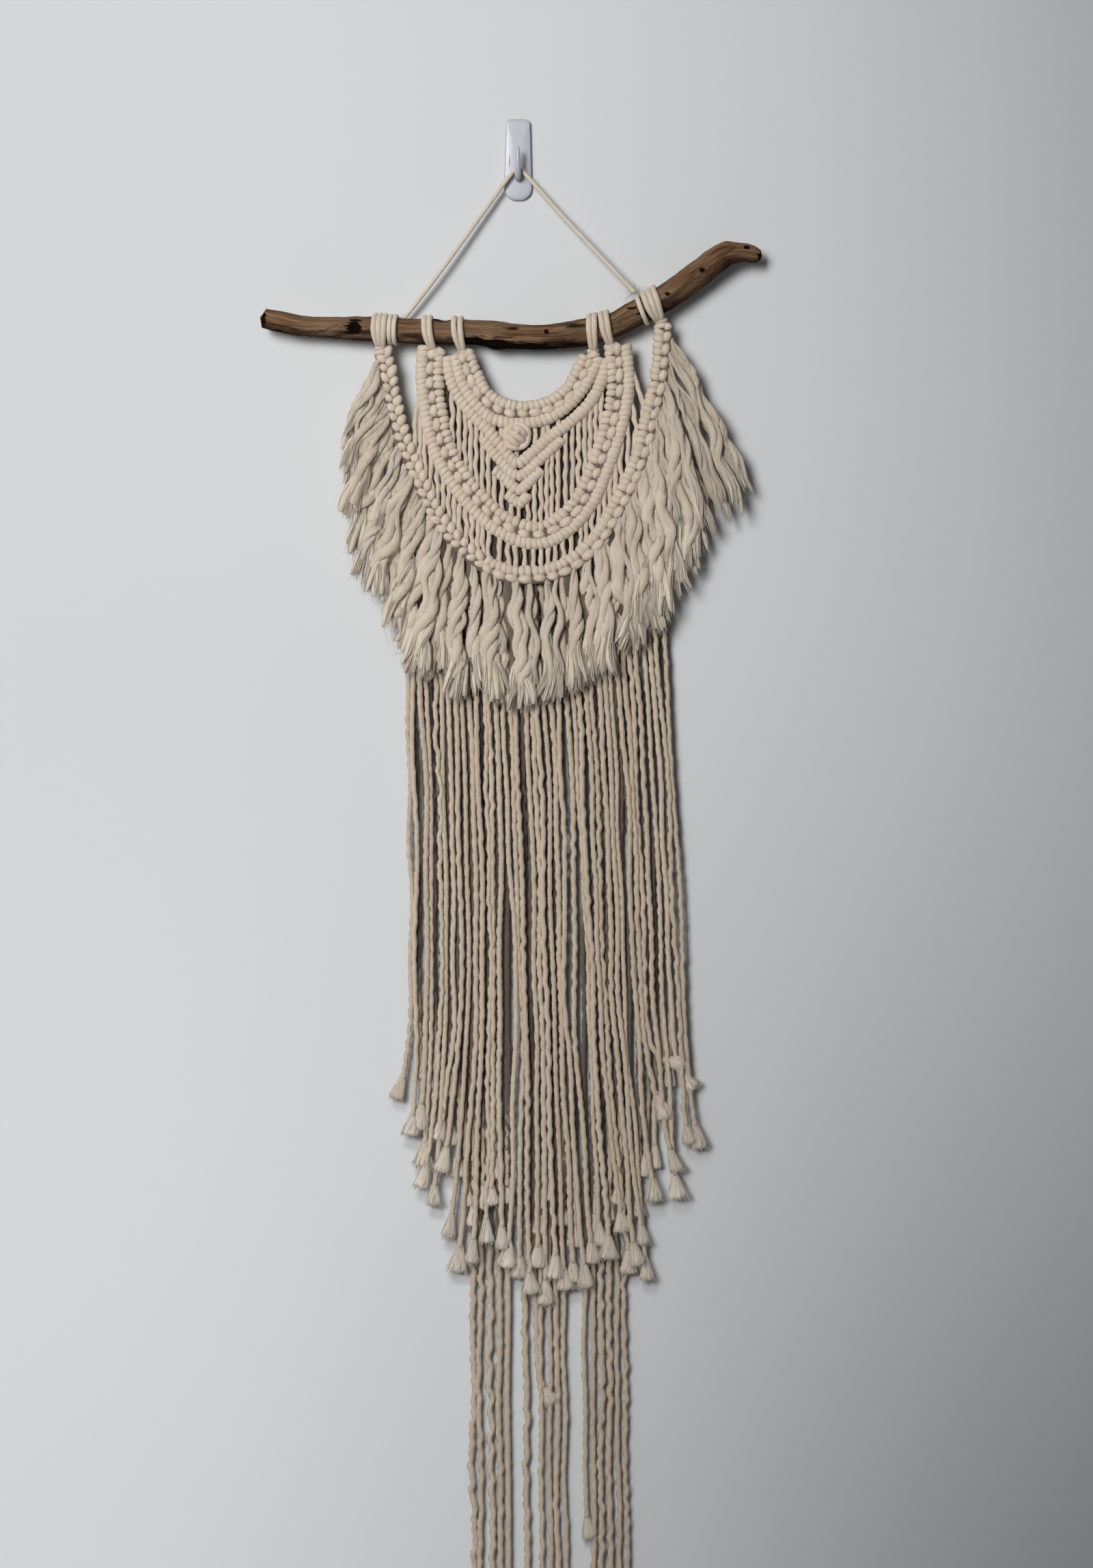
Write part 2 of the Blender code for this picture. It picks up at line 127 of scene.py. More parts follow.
def addFaces(store, points, corners, sizes, uvs, toneAndShade):
    store["points"].append(points)
    store["corners"].append(corners + store["count"])
    store["sizes"].append(sizes)
    store["uvs"].append(uvs)
    store["tonesAndShades"].append(np.broadcast_to(np.asarray(toneAndShade, np.float32), (len(points),)))
    store["count"] += len(points)


def sweep(store, route, radii, sides=8, toneAndShade=0.5, lobes=2, lobeDepth=0.0, twist=0.0,
          back=(0, 1, 0), squeeze=1.0, ends=True):
    # a tube of cord along the route, with soft lobes that turn round it. Its seam starts at the back
    route = np.asarray(route, float)
    rings = len(route)
    ahead = unit(np.gradient(route, axis=0))
    side = np.array(back, float)
    sideRows = []
    for way in ahead:
        side = side - way * side.dot(way)
        side = side / max(np.linalg.norm(side), 1e-9)
        sideRows.append(side)
    sideRows = np.array(sideRows)
    crossRows = np.cross(ahead, sideRows)
    along = walkedLength(route)
    radii = np.broadcast_to(np.asarray(radii, float), (rings,))
    angles = np.arange(sides) * 2 * math.pi / sides
    turns = twist * along if np.ndim(twist) == 0 else twist
    turn = angles[None, :] + turns[:, None] * 2 * math.pi
    lobe = np.cos(lobes * turn) + 0.35 * np.cos((lobes + 1) * turn + 1.3)  # the second wave makes them unequal
    reach = radii[:, None] * (1 + lobeDepth * lobe)
    points = (route[:, None, :] + (reach * np.cos(angles) * squeeze)[:, :, None] * sideRows[:, None, :]
              + (reach * np.sin(angles))[:, :, None] * crossRows[:, None, :]).reshape(-1, 3)
    ring, spoke = np.meshgrid(np.arange(rings - 1), np.arange(sides), indexing="ij")
    here, after = ring * sides, (spoke + 1) % sides
    quads = (here + spoke, here + sides + spoke, here + sides + after, here + after)
    corners = np.stack(quads, axis=-1).reshape(-1)
    u0, u1, v0, v1 = spoke / sides, (spoke + 1) / sides, along[ring], along[ring + 1]
    uvs = np.stack((u0, v0, u0, v1, u1, v1, u1, v0), axis=-1).reshape(-1, 2)
    sizes = np.full((rings - 1) * sides, 4)
    tonesAndShades = np.repeat(np.broadcast_to(toneAndShade, (rings,)), sides)
    atBack = (points - np.repeat(route, sides, axis=0))[:, 1] > 0.2 * np.repeat(radii, sides)
    tonesAndShades = np.where((tonesAndShades < 0) & atBack, 0.4, tonesAndShades)  # painted shade: a cord behind others is painted dark on its front only
    if ends:
        first, last = len(points), (rings - 1) * sides
        bulge = 0.4 * radii  # each end is a low cone
        points = np.vstack((points, route[0] - ahead[0] * bulge[0], route[-1] + ahead[-1] * bulge[-1]))
        spoke = np.arange(sides)
        after = (spoke + 1) % sides
        caps = ((spoke, after, np.full(sides, first)), (last + after, last + spoke, np.full(sides, first + 1)))
        corners = np.concatenate((corners, *(np.stack(cap, axis=-1).reshape(-1) for cap in caps)))
        capUvs = np.tile([[0, 0], [1 / sides, 0], [0.5 / sides, 0]], (2 * sides, 1))
        capUvs[3 * sides:, 1] = along[-1]
        uvs = np.vstack((uvs, capUvs))
        sizes = np.concatenate((sizes, np.full(2 * sides, 3)))
        tonesAndShades = np.append(tonesAndShades, (tonesAndShades[0], tonesAndShades[-1]))
    addFaces(store, points, corners, sizes, uvs, tonesAndShades)


def finishPiece(name, store, material, replaced=()):
    mesh = bpy.data.meshes.new(name)
    points, corners, sizes, uvs, tonesAndShades = (
        np.concatenate(store[part]) for part in ("points", "corners", "sizes", "uvs", "tonesAndShades"))
    starts = np.concatenate(([0], np.cumsum(sizes)[:-1]))
    mesh.vertices.add(len(points))
    mesh.vertices.foreach_set("co", points.astype(np.float32).ravel())
    mesh.loops.add(len(corners))
    mesh.loops.foreach_set("vertex_index", corners.astype(np.int32))
    mesh.polygons.add(len(sizes))
    mesh.polygons.foreach_set("loop_start", starts.astype(np.int32))
    mesh.uv_layers.new(name="alongCord").data.foreach_set("uv", uvs.astype(np.float32).ravel())
    # the cords' tone, and below 0 painted shade on cords that lie behind others
    mesh.attributes.new("toneAndShade", "FLOAT", "POINT").data.foreach_set("value", tonesAndShades)
    mesh.update(calc_edges=True)
    mesh.shade_smooth()
    mesh.materials.append(material)
    piece = bpy.data.objects.new(name, mesh)
    bpy.context.scene.collection.objects.link(piece)
    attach(piece, "root")
    if replaced:
        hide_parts(*replaced)
    print("made", name, len(points), "points", int((sizes - 2).sum()), "triangles")
    return piece


print("materials")


def addNode(tree, kind, **settings):
    node = tree.nodes.new(kind)
    for name, value in settings.items():
        setattr(node, name, value)
    return node


def fill(tree, node, values):
    # links or sets a node's inputs by name or number
    for place, value in values.items():
        if isinstance(value, bpy.types.NodeSocket):
            tree.links.new(value, node.inputs[place])
        else:
            node.inputs[place].default_value = value
    return node


def feed(tree, kind, *values, **settings):
    # a new node with its first inputs filled in order
    return fill(tree, addNode(tree, kind, **settings), dict(enumerate(values)))


def calc(tree, operation, *values):
    return feed(tree, "ShaderNodeMath", *values, operation=operation).outputs[0]


def remap(tree, value, low, high, start=0.0, end=1.0):
    return feed(tree, "ShaderNodeMapRange", value, low, high, start, end).outputs[0]


def mixColour(tree, factor, a, b):
    node = addNode(tree, "ShaderNodeMix", data_type="RGBA")
    return fill(tree, node, {"Factor": factor, 6: a, 7: b}).outputs[2]


def readMask(tree, name):
    return addNode(tree, "ShaderNodeAttribute", attribute_name=name).outputs["Fac"]


def objectPlace(tree):
    return addNode(tree, "ShaderNodeTexCoord").outputs["Object"]


def cordPlace(tree):
    # how far round a cord, from 0 to 1, and how far along it in metres
    uv = addNode(tree, "ShaderNodeUVMap", uv_map="alongCord")
    return feed(tree, "ShaderNodeSeparateXYZ", uv.outputs[0]).outputs[:2]


def onCylinder(tree, angle, around, lengthwise):
    # the noise is read on a cylinder, so it has no seam
    sides = [calc(tree, "MULTIPLY", calc(tree, wave, angle), around) for wave in ("COSINE", "SINE")]
    return feed(tree, "ShaderNodeCombineXYZ", *sides, lengthwise).outputs[0]


def addNoise(tree, place, scale, detail=2.0, roughness=0.5, distortion=0.0):
    values = {"Vector": place, "Scale": scale, "Detail": detail, "Roughness": roughness,
              "Distortion": distortion}
    return fill(tree, addNode(tree, "ShaderNodeTexNoise"), values).outputs["Fac"]


def addBump(tree, shader, height, strength, distance):
    values = {"Strength": strength, "Distance": distance, "Height": height}
    bump = fill(tree, addNode(tree, "ShaderNodeBump"), values)
    fill(tree, shader, {"Normal": bump.outputs[0]})


def newGroup(name, inputs, outputs):
    tree = bpy.data.node_groups.new(name, "ShaderNodeTree")
    for label, kind, value in inputs:
        tree.interface.new_socket(label, in_out="INPUT", socket_type=kind).default_value = value
    for label, kind in outputs:
        tree.interface.new_socket(label, in_out="OUTPUT", socket_type=kind)
    return tree, tree.nodes.new("NodeGroupInput").outputs, tree.nodes.new("NodeGroupOutput")


def placeGroup(tree, group, values):
    return fill(tree, addNode(tree, "ShaderNodeGroup", node_tree=group), values).outputs


def makeTwistGroup():
    # streaks that wind round a cord, different on each cord by its tone; the same value, below 0, marks painted
    # shade
    tree, given, result = newGroup(
        "windingFibres",
        (("Twist", "NodeSocketFloat", 30.0), ("Streaks", "NodeSocketFloat", 3.0),
         ("Stretch", "NodeSocketFloat", 60.0)),
        (("Height", "NodeSocketFloat"), ("Streak", "NodeSocketFloat"), ("Tint", "NodeSocketFloat")))
    around, lengthwise = cordPlace(tree)
    toneAndShade = readMask(tree, "toneAndShade")
    wound = calc(tree, "MULTIPLY", lengthwise, given["Twist"])
    angle = calc(tree, "MULTIPLY", calc(tree, "ADD", around, wound), 2 * math.pi)
    along = calc(tree, "MULTIPLY", lengthwise, given["Stretch"])
    shifted = calc(tree, "ADD", along, calc(tree, "MULTIPLY", toneAndShade, 91.0))  # cords lie far apart in the noise
    place = onCylinder(tree, angle, given["Streaks"], shifted)
    coarse = addNoise(tree, place, 1.0, detail=3.0, roughness=0.6)
    fine = addNoise(tree, place, 3.6)
    height = calc(tree, "ADD", coarse, calc(tree, "MULTIPLY", fine, 0.45))
    fill(tree, result, {"Height": height, "Streak": coarse, "Tint": toneAndShade})
    return tree


deepShade = (0.068, 0.047, 0.034, 1)  # painted shade of cords that lie behind others


def makeCottonGroup():
    # cotton's uneven cream colour, from one cord to the next and along its streaks, and painted shade on cords
    # that lie behind others
    tree, given, result = newGroup(
        "cottonColour",
        (("Light", "NodeSocketColor", (0.7, 0.6, 0.5, 1)), ("Dark", "NodeSocketColor", (0.4, 0.3, 0.2, 1)),
         ("Streak", "NodeSocketFloat", 0.5), ("Tint", "NodeSocketFloat", 0.5)),
        (("Colour", "NodeSocketColor"),))
    light = calc(tree, "MULTIPLY", remap(tree, given["Streak"], 0.32, 0.62), 0.45)
    light = calc(tree, "ADD", light, calc(tree, "MULTIPLY", given["Tint"], 0.35))
    light = calc(tree, "ADD", light, calc(tree, "MULTIPLY", addNoise(tree, objectPlace(tree), 38.0), 0.3))
    colour = mixColour(tree, light, given["Dark"], given["Light"])
    shade = calc(tree, "MULTIPLY", given["Tint"], -1.0)  # painted shade: a value below 0 marks a cord that lies behind others, and paints it dark
    fill(tree, result, {"Colour": mixColour(tree, shade, colour, deepShade)})
    return tree


windingFibres = makeTwistGroup()
cottonColour = makeCottonGroup()


def newMaterial(name):
    made = bpy.data.materials.new(name)
    made.use_nodes = True
    return made, made.node_tree, made.node_tree.nodes["Principled BSDF"]


def makeCotton(name, light, dark, twist, streaks, stretch, relief, sheen):
    made, tree, shader = newMaterial(name)
    fibres = placeGroup(tree, windingFibres, {"Twist": twist, "Streaks": streaks, "Stretch": stretch})
    colour = placeGroup(tree, cottonColour, {"Light": light, "Dark": dark, "Streak": fibres["Streak"],
                                             "Tint": fibres["Tint"]})
    addBump(tree, shader, fibres["Height"], 0.9, relief)
    fill(tree, shader, {"Base Color": colour[0], "Roughness": 0.92, "Specular IOR Level": 0.2,
                        "Sheen Weight": sheen, "Sheen Roughness": 0.5})
    return made


cottonFinishes = {
    # columns: light and dark colour, twist, streaks round and along the cord, relief in metres, sheen
    "cottonCord": ((0.71, 0.61, 0.508, 1), (0.49, 0.385, 0.288, 1), 30.0, 2.6, 60.0, 0.0006, 0.25),
    "cottonStrand": ((0.765, 0.65, 0.52, 1), (0.47, 0.36, 0.258, 1), 90.0, 3.6, 60.0, 0.0009, 0.25),
    "cottonFringe": ((0.78, 0.685, 0.568, 1), (0.61, 0.497, 0.375, 1), 9.0, 6.0, 42.0, 0.0013, 0.25),
    "cottonCombed": ((0.80, 0.715, 0.60, 1), (0.60, 0.50, 0.38, 1), 9.0, 8.0, 30.0, 0.0006, 0.15),
    "cottonBrush": ((0.83, 0.755, 0.655, 1), (0.50, 0.405, 0.30, 1), 9.0, 8.0, 30.0, 0.0006, 0.15),
    "cottonHanger": ((0.74, 0.67, 0.58, 1), (0.52, 0.44, 0.35, 1), 60.0, 2.2, 80.0, 0.0006, 0.25),
}
cotton = {name: makeCotton(name, *finish) for name, finish in cottonFinishes.items()}

print("hanging cord")
pliedCord = {"toneAndShade": 0.6, "lobes": 3, "lobeDepth": 0.07, "twist": 62}
hangingCord = {
    "diameter": 4.0,
    # columns: x, y, z. From the left turns' back over the hook's prong to the right turn's top
    "route": ((-104.1, -9.9, -141.6), (-97, -10.6, -137), (-66, -12.6, -97), (-34, -10.6, -52.5),
              (-6.5, -9.2, -14.1), (-3.4, -9.2, -11.3), (0, -9.2, -10.5), (3.4, -9.2, -11.2),
              (6.5, -9.2, -13.7), (40, -12.6, -51.8), (74, -16.6, -88.4), (102.3, -19.5, -118.8)),
    # columns: x of each turn round the branch, their lean in degrees, how many loose hairs stand at the knot
    "turns": {"left": ((-111.2, -107), 2, 14), "right": ((109.2,), -21, 90)},
    "turnRadius": 2.1,
}
# columns: x, z, radius. The branch from its left end to its right end
branchShape = ((-223, -142.2, 8.4), (-210, -145.3, 9), (-184.8, -149.1, 8.7), (-142.8, -150.6, 10.1),
               (-115.8, -151.5, 10.5), (-94.8, -153.2, 10.9), (-64.8, -153.6, 10.8), (-34.8, -154.8, 10.8),
               (-19.8, -156.6, 11.6), (-0.6, -158.1, 10.8), (25.2, -158.5, 10.9), (49.2, -155.9, 11.7),
               (66, -152.6, 11.8), (85.2, -147.6, 10.9), (100.2, -139.5, 11.3), (121.2, -128.1, 11.4),
               (133.2, -121.3, 11.4), (157.2, -104.1, 11.8), (178.2, -88.2, 11.1), (187.2, -84.9, 9.9),
               (199.2, -84.3, 8.1), (208.2, -86.1, 6.6), (213, -86.7, 4.2))


def branchAt(x):
    table = np.array(branchShape) * mm
    height = np.interp(x, table[:, 0], table[:, 1])
    radius = np.interp(x, table[:, 0], table[:, 2])
    rise = np.interp(x + 0.008, table[:, 0], table[:, 1]) - np.interp(x - 0.008, table[:, 0], table[:, 1])
    return height, radius, math.atan2(rise, 0.016)


def branchTurn(x, lean, cordRadius, gap=0.0005, head=None):
    # a turn of cord round the branch, or a loop over it that comes down to a head knot below
    height, radius, slope = branchAt(x)
    lean = math.radians(lean)
    out = radius + gap + cordRadius
    up = (out - 0.0019) / math.cos(slope + lean)  # pressed down on the wood
    if head is None:
        angle = np.linspace(-math.pi, math.pi, 26)  # 0 is the front
    else:
        # from the bottom, up behind, over and down the front
        angle = np.linspace(-math.pi * 1.5, math.pi * 0.5, 34)
    rise = -up * np.sin(angle)
    route = rowsOf(x + rise * math.sin(lean), panelY - out * np.cos(angle), height + rise * math.cos(lean))
    route[:, 0] -= 0.0016 * np.clip(np.cos(angle), 0, 1)  # bowed a little to the left in front
    if head is not None:
        pull = np.clip((np.sin(angle) - 0.1) / 0.9, 0, 1) ** 1.6
        route[:, 0] += (head[0] - route[:, 0]) * pull * 0.9
        route[:, 2] += (head[1] - route[:, 2]) * pull
        route[:, 1] += (panelY - 0.0026 - route[:, 1]) * pull * 0.6
    return route


def addHairs(store, roots, outward, length, count, radius=0.00012, fall=0.5):
    # loose fibres that stand off a cord and droop
    for _ in range(count):
        at = dice.integers(len(roots))
        way = unit(np.array(outward[at]) + dice.normal(0, 0.55, 3))
        long = dice.uniform(*length)
        steps = np.linspace(0, 1, 5)[:, None]
        curl = dice.normal(0, 0.35, 3)
        route = roots[at] + way * steps * long + (curl - np.array((0, 0, fall))) * steps ** 2 * long
        route[:, 1] = np.clip(route[:, 1], -0.045, -0.0006)  # clear of the wall, and not far out in front
        sweep(store, route, radius * np.linspace(1, 0.4, 5), sides=3, toneAndShade=dice.uniform(0.6, 1), ends=False)


def makeHangingCord():
    radius = hangingCord["diameter"] * mm / 2
    line = smoothLine(hangingCord["route"], 0.0016)
    store = newStore()
    sweep(store, line, radius * 0.97, sides=12, **pliedCord)
    cord = finishPiece("hangingCord", store, cotton["cottonHanger"], ("hanging_cord",))
    path = smoothLine(hangingCord["route"], 0.0078)
    turnRadius = hangingCord["turnRadius"] * mm
    for side, (places, lean, hairCount) in hangingCord["turns"].items():
        turns = newStore()
        for x in places:
            route = branchTurn(x * mm, lean, turnRadius, gap=0.0009)
            sweep(turns, route, turnRadius, sides=10, back=(1, 0, 0), **pliedCord)
        knot = np.array(hangingCord["route"][0 if side == "left" else -1]) * mm
        outward = unit(dice.normal(0, 1, (40, 3)) * (1, 0.5, 1))
        addHairs(turns, knot + outward * 0.0025, outward, (0.004, 0.013), hairCount, fall=0.2)
        finishPiece("hangerTurns_" + side, turns, cotton["cottonHanger"],
                    ("hanger_wrap_" + side,))


makeHangingCord()

print("knotted panel")
knotCord = {"lobeDepth": 0.05, "twist": 30}
knottedPanel = {
    "netRadius": 2.15, "loopRadius": 2.6, "coreRadius": 2.9,
    "coreSides": (-2.8, 1.6, 6.0),  # how far each core cord lies to the side of a knotted arc
    "pitch": {"outer": 11.4, "middle": 12.3, "collar": 10.6},  # from one square knot to the next
    "beadPitch": 8.8, "beadShare": 0.4,  # the outer arc starts with two rows of round beads
    # columns: share along the knot, half length along it, side, half length across it, lift, radius
    "beads": ((-0.22, 2.2, -3.2, 1.7, 3.7, 3.8), (0.28, 2.0, 3.5, -1.6, 3.2, 3.6)),
    "squareKnot": ((-0.24, 0.0, -2.9, 3.0, 4.7, 2.75), (0.24, 0.0, -2.9, 3.0, 4.7, 2.75),
                   (0.0, 3.2, 3.9, 0.4, 4.6, 3.6)),
    # columns: pitch of the hitches, their radius round the bar, the cord's own radius
    "bar": (4.8, 3.3, 2.5), "chevronBar": (4.4, 2.9, 2.35),
    "barOffset": 11.4,
    "behind": (-63, 84, 4.6),  # first x, last x and spacing of the cords that cross behind the net
    # columns: x, z. Centre lines of the knotted arcs, each from its left end to its right end
    "collar": ((-46.5, -171), (-40.4, -186.9), (-31.6, -205.8), (-15.8, -218.4), (4.2, -222.3), (26, -218.8),
               (44.2, -207), (55.5, -188), (63, -172)),
    "secondBar": ((-61.5, -176), (-59.8, -192.3), (-52.8, -209.4), (-40.8, -225.9), (-27.6, -238.5),
                  (-14, -255), (-0.6, -269.7), (13.2, -259.5), (28.2, -246.3), (43.2, -235.5),
                  (57, -223.5), (68.4, -208.5), (75, -192.3), (77.5, -178)),
    "chevrons": (((-30, -248), (-16.8, -265.1), (1, -280.7), (19.2, -266.2), (39, -248)),
                 ((-20.5, -275), (-9.6, -283.7), (1, -293.5), (11.5, -283.7), (21, -275)),
                 ((-9, -296), (-2, -303), (3, -304), (9, -297))),
    "middle": ((-71, -168), (-73.2, -189.3), (-70.8, -216.3), (-64.8, -246.3), (-54, -271.5), (-36.6, -295.5),
               (-13.8, -317.7), (13.2, -328.6), (34.2, -322), (53.4, -302.7), (66, -276.3), (76.8, -246.3),
               (83.4, -219.3), (86, -195.3), (83.4, -167)),
    "outer": ((-118, -170), (-114.6, -183.3), (-110.1, -210.3), (-100.8, -246.3), (-85.8, -282.3),
              (-68.7, -318.3), (-41.4, -347.7), (-14.4, -364.2), (13.2, -366.9), (41.4, -360), (67.8, -338.1),
              (90, -301.5), (106.5, -264.9), (116.7, -225.3), (124.2, -189.3), (127.8, -149)),
    "berry": (-0.6, -245.6),
    # columns: where each cord round the rim starts and ends in degrees, how far out it lies
    "berryRim": ((105, 215, 10.4), (190, 290, 10.7), (262, 372, 10.2), (-12, 118, 10.5)),
    # columns: the band's direction in degrees, how far it lies from the middle, half its length, lift, radius
    "berryBands": ((-38, -5.8, 6.6, 6.8, 2.9), (-30, 5.4, 6.4, 6.6, 2.8), (-34, -0.4, 8.4, 8.2, 3.0),
                   (30, 2.6, 6.0, 9.2, 2.5)),
    "collarBar": ((-56, -175), (-49.2, -198.3), (-40.8, -212.4), (-29.4, -225), (-16.8, -232.2), (4.2, -234.3),
                  (25.2, -230.4), (42, -220.2), (56.4, -204.6), (66, -188.4), (71.4, -177)),
    # columns: x of the knot under the branch, x of each loop round the branch, the loops' lean in degrees
    "loops": ((-120, (-124.8, -120.4, -116), 2), (-72, (-80.2, -75.6), -5), (-47, (-54.2, -48.6), -5),
              (66, (64, 68.6), -3), (83, (75.4, 80.2), -10), (126, (114.6, 119, 123.4), -21)),
    "headRings": ((1, 3.4), (5.6, 4.2)),  # columns: how far below the loops, radius
    "upperNet": (-57.6, -51.6, -46.2, -41.4, -36.6, -31.2, -25.8, -20.4, -13.8, -5.4, 0.6, 9, 14.7, 20.4,
                 25.5, 30, 35.4, 42, 48, 53.4, 58.8, 63.6, 68.4, 73.2),
    "lowerNet": (-81.6, -76.2, -70.8, -65.4, -60.6, -55.8, -51, -45.6, -40.2, -35.4, -30.6, -25.8, -16.2,
                 -8.4, -1.8, 6, 13.8, 20.4, 27, 33, 40.2, 46.8, 55.2, 60, 65.4, 71.4, 76.2, 81, 85.8, 90.6),
    # columns: x and z where the cord leaves the middle bar, then x lower down
    "sideCords": ((-84, -197, -90.5), (-83, -208, -86), (96, -200, 96.6), (97, -189, 103), (97, -178, 110)),
    "innerCords": (-21.6, -13.8, 15, 22.2, 27, 35.4),  # short cords from the collar's bar to the second bar
}
outerArc = smoothLine(knottedPanel["outer"], 0.0045)


def lay(line, along, side, depth):
    # points beside a line of the panel: side is out from the arc, depth is to the front
    walked = walkedLength(line)
    ahead = unit(np.gradient(line, axis=0))
    x, z, wayX, wayZ = (np.interp(along, walked, column) for column in (*line.T, *ahead.T))
    return rowsOf(x + side * wayZ, panelY - depth, z - side * wayX)


def stepAlong(line, at):
    # a short step along a line of the panel: the way a knot's flattened section faces
    start, end = lay(line, at + 0.001 * np.array((-1, 1)), 0, 0)
    return end - start


def squareKnots(store, arc, beadShare=0.0):
    # each knot is two short bars over the inner core, and a longer bump that holds their outer ends
    line = smoothLine(knottedPanel[arc], 0.001)
    total = walkedLength(line)[-1]
    bend = np.linspace(-math.pi / 2, math.pi / 2, 11)
    over, rise = np.sin(bend), np.cos(bend) ** 0.6
    swell = 1 - 0.12 * over ** 2
    at = 0.0
    while at < total:
        beads = at < beadShare * total
        step = (knottedPanel["beadPitch"] if beads else knottedPanel["pitch"][arc]) * mm
        middle = at + 0.5 * step + dice.normal(0, 0.0003)
        way = stepAlong(line, middle)
        big = dice.uniform(0.94, 1.06) * mm
        lean = dice.normal(0, 0.0006)
        for share, reach, side, slide, lift, thick in knottedPanel["beads" if beads else "squareKnot"]:
            along = middle + share * step + (reach * mm + lean) * over
            aside = (side + slide * over + dice.normal(0, 0.2)) * big
            depth = (lift * rise * dice.uniform(0.93, 1.07) - 1.5) * big
            radii = thick * big * swell * dice.uniform(0.94, 1.06)
            back, squeeze = ((0, 1, 0), 0.95) if reach else (way, 1.22)  # the short bars lie flatter
            sweep(store, lay(line, along, aside, depth), radii, sides=10, toneAndShade=dice.uniform(0.4, 0.9),
                  back=back, squeeze=squeeze, **knotCord)
        at += step
    straight = np.linspace(0, total, max(8, round(total / 0.004)))
    for side in knottedPanel["coreSides"]:
        core = lay(line, straight, side * mm, 0.0002)
        # painted shade: the core cords under the knots are painted dark on their front
        sweep(store, core, knottedPanel["coreRadius"] * mm, sides=7, toneAndShade=-0.8)


def hitchedBar(store, line, shape="bar"):
    pitch, coil, cord = np.array(knottedPanel[shape]) * mm
    total = walkedLength(line)[-1]
    straight = np.linspace(0, total, max(6, round(total / 0.004)))
    # painted shade: the bar's core is painted dark on its front
    sweep(store, lay(line, straight, 0, 0), coil, sides=8, toneAndShade=-0.75)
    count = max(2, round(total / pitch))
    angle = np.linspace(-math.pi * 0.93, math.pi * 0.93, 16)  # 0 is the front
    for i in range(count):
        middle = (i + 0.5) * total / count + dice.normal(0, 0.00015)
        lean = 0.0007 + dice.normal(0, 0.00025)
        big = coil * dice.uniform(0.96, 1.07)
        route = lay(line, middle + lean * np.sin(angle), big * np.sin(angle), big * np.cos(angle))
        sweep(store, route, cord * dice.uniform(0.94, 1.06), sides=10, toneAndShade=dice.uniform(0.4, 0.85),
              lobeDepth=0.04, twist=30, back=stepAlong(line, middle), squeeze=1.32)


def softCord(store, route, radius, period, wobble, toneAndShade, sides=8, depth=0.15):
    # a soft cord of one loosely spun strand: its middle winds as it runs, and its two lobes turn with it
    along = walkedLength(route)
    turns = along / period + wander(along, (0.02, 0.07), 0.13) + dice.uniform()
    swing = wobble * np.clip(np.minimum(along, along[-1] - along) / 0.008, 0, 1)
    angle = 2 * math.pi * turns
    aside = rowsOf(swing * np.cos(angle), 0.7 * swing * np.sin(angle), 0)
    aside[:, 0] += (swing > 0) * wander(along, (0.011, 0.032), dice.uniform(1, 4.5) * wobble)
    thick = radius * (1 + wander(along, (0.008, 0.022), 0.09))
    sweep(store, route + aside, thick, sides=sides, toneAndShade=toneAndShade, lobeDepth=depth, twist=turns / 2)


def netCord(store, x0, z0, x1, z1, depth=0.0, toneAndShade=None):
    steps = np.linspace(0, 1, max(6, round(abs(z0 - z1) / 0.0028)))
    along = steps * abs(z0 - z1)
    bow = np.sin(math.pi * steps)
    x = x0 + (x1 - x0) * np.minimum(1, steps * 2) + wander(along, (0.018, 0.05), 0.0005) * bow
    y = panelY - depth + wander(along, (0.012, 0.03), 0.0004) * bow
    route = rowsOf(x, y, z0 + (z1 - z0) * steps)
    radius = knottedPanel["netRadius"] * mm * dice.uniform(0.94, 1.1)
    period = dice.uniform(0.012, 0.015)
    softCord(store, route, radius, period, 0.0002, dice.uniform(0.1, 0.7) if toneAndShade is None else toneAndShade)


def berryKnot(store):
    # a ball of rolled-up knots: cords laid round the rim, and bands bowed over the top
    x, z = np.array(knottedPanel["berry"]) * mm
    dome = np.linspace(-1, 1, 9)
    ball = 0.0118 * np.sqrt(np.clip(1 - dome ** 2, 0.02, 1))
    # painted shade: the ball under the rim cords is painted somewhat dark on its front
    sweep(store, rowsOf(x + dome * 0.0115, panelY - 0.001, z), ball, sides=14, toneAndShade=-0.3, squeeze=0.66)
    for start, end, reach in knottedPanel["berryRim"]:
        arc = np.radians(np.linspace(start, end, 16))
        bow = np.sin(np.linspace(0, math.pi, 16)) ** 0.6
        out = (reach - 2.2 * (1 - bow)) * mm
        route = rowsOf(x + out * np.cos(arc), panelY - (3.4 * bow + 0.6) * mm, z + out * np.sin(arc))
        sweep(store, route, 0.0031, sides=10, toneAndShade=dice.uniform(0.5, 0.85), lobeDepth=0.06, twist=30)
    steps = np.linspace(-1, 1, 13)
    rise = np.cos(steps * math.pi / 2) ** 0.6
    for lean, aside, half, lift, thick in knottedPanel["berryBands"]:
        wayX, wayZ = math.cos(math.radians(lean)) * mm, math.sin(math.radians(lean)) * mm
        route = rowsOf(x + wayX * half * steps - wayZ * aside, panelY - (lift * rise + 1.2) * mm,
                       z + wayZ * half * steps + wayX * aside)
        sweep(store, route, thick * mm, sides=10, toneAndShade=dice.uniform(0.5, 0.9), lobeDepth=0.06, twist=30)


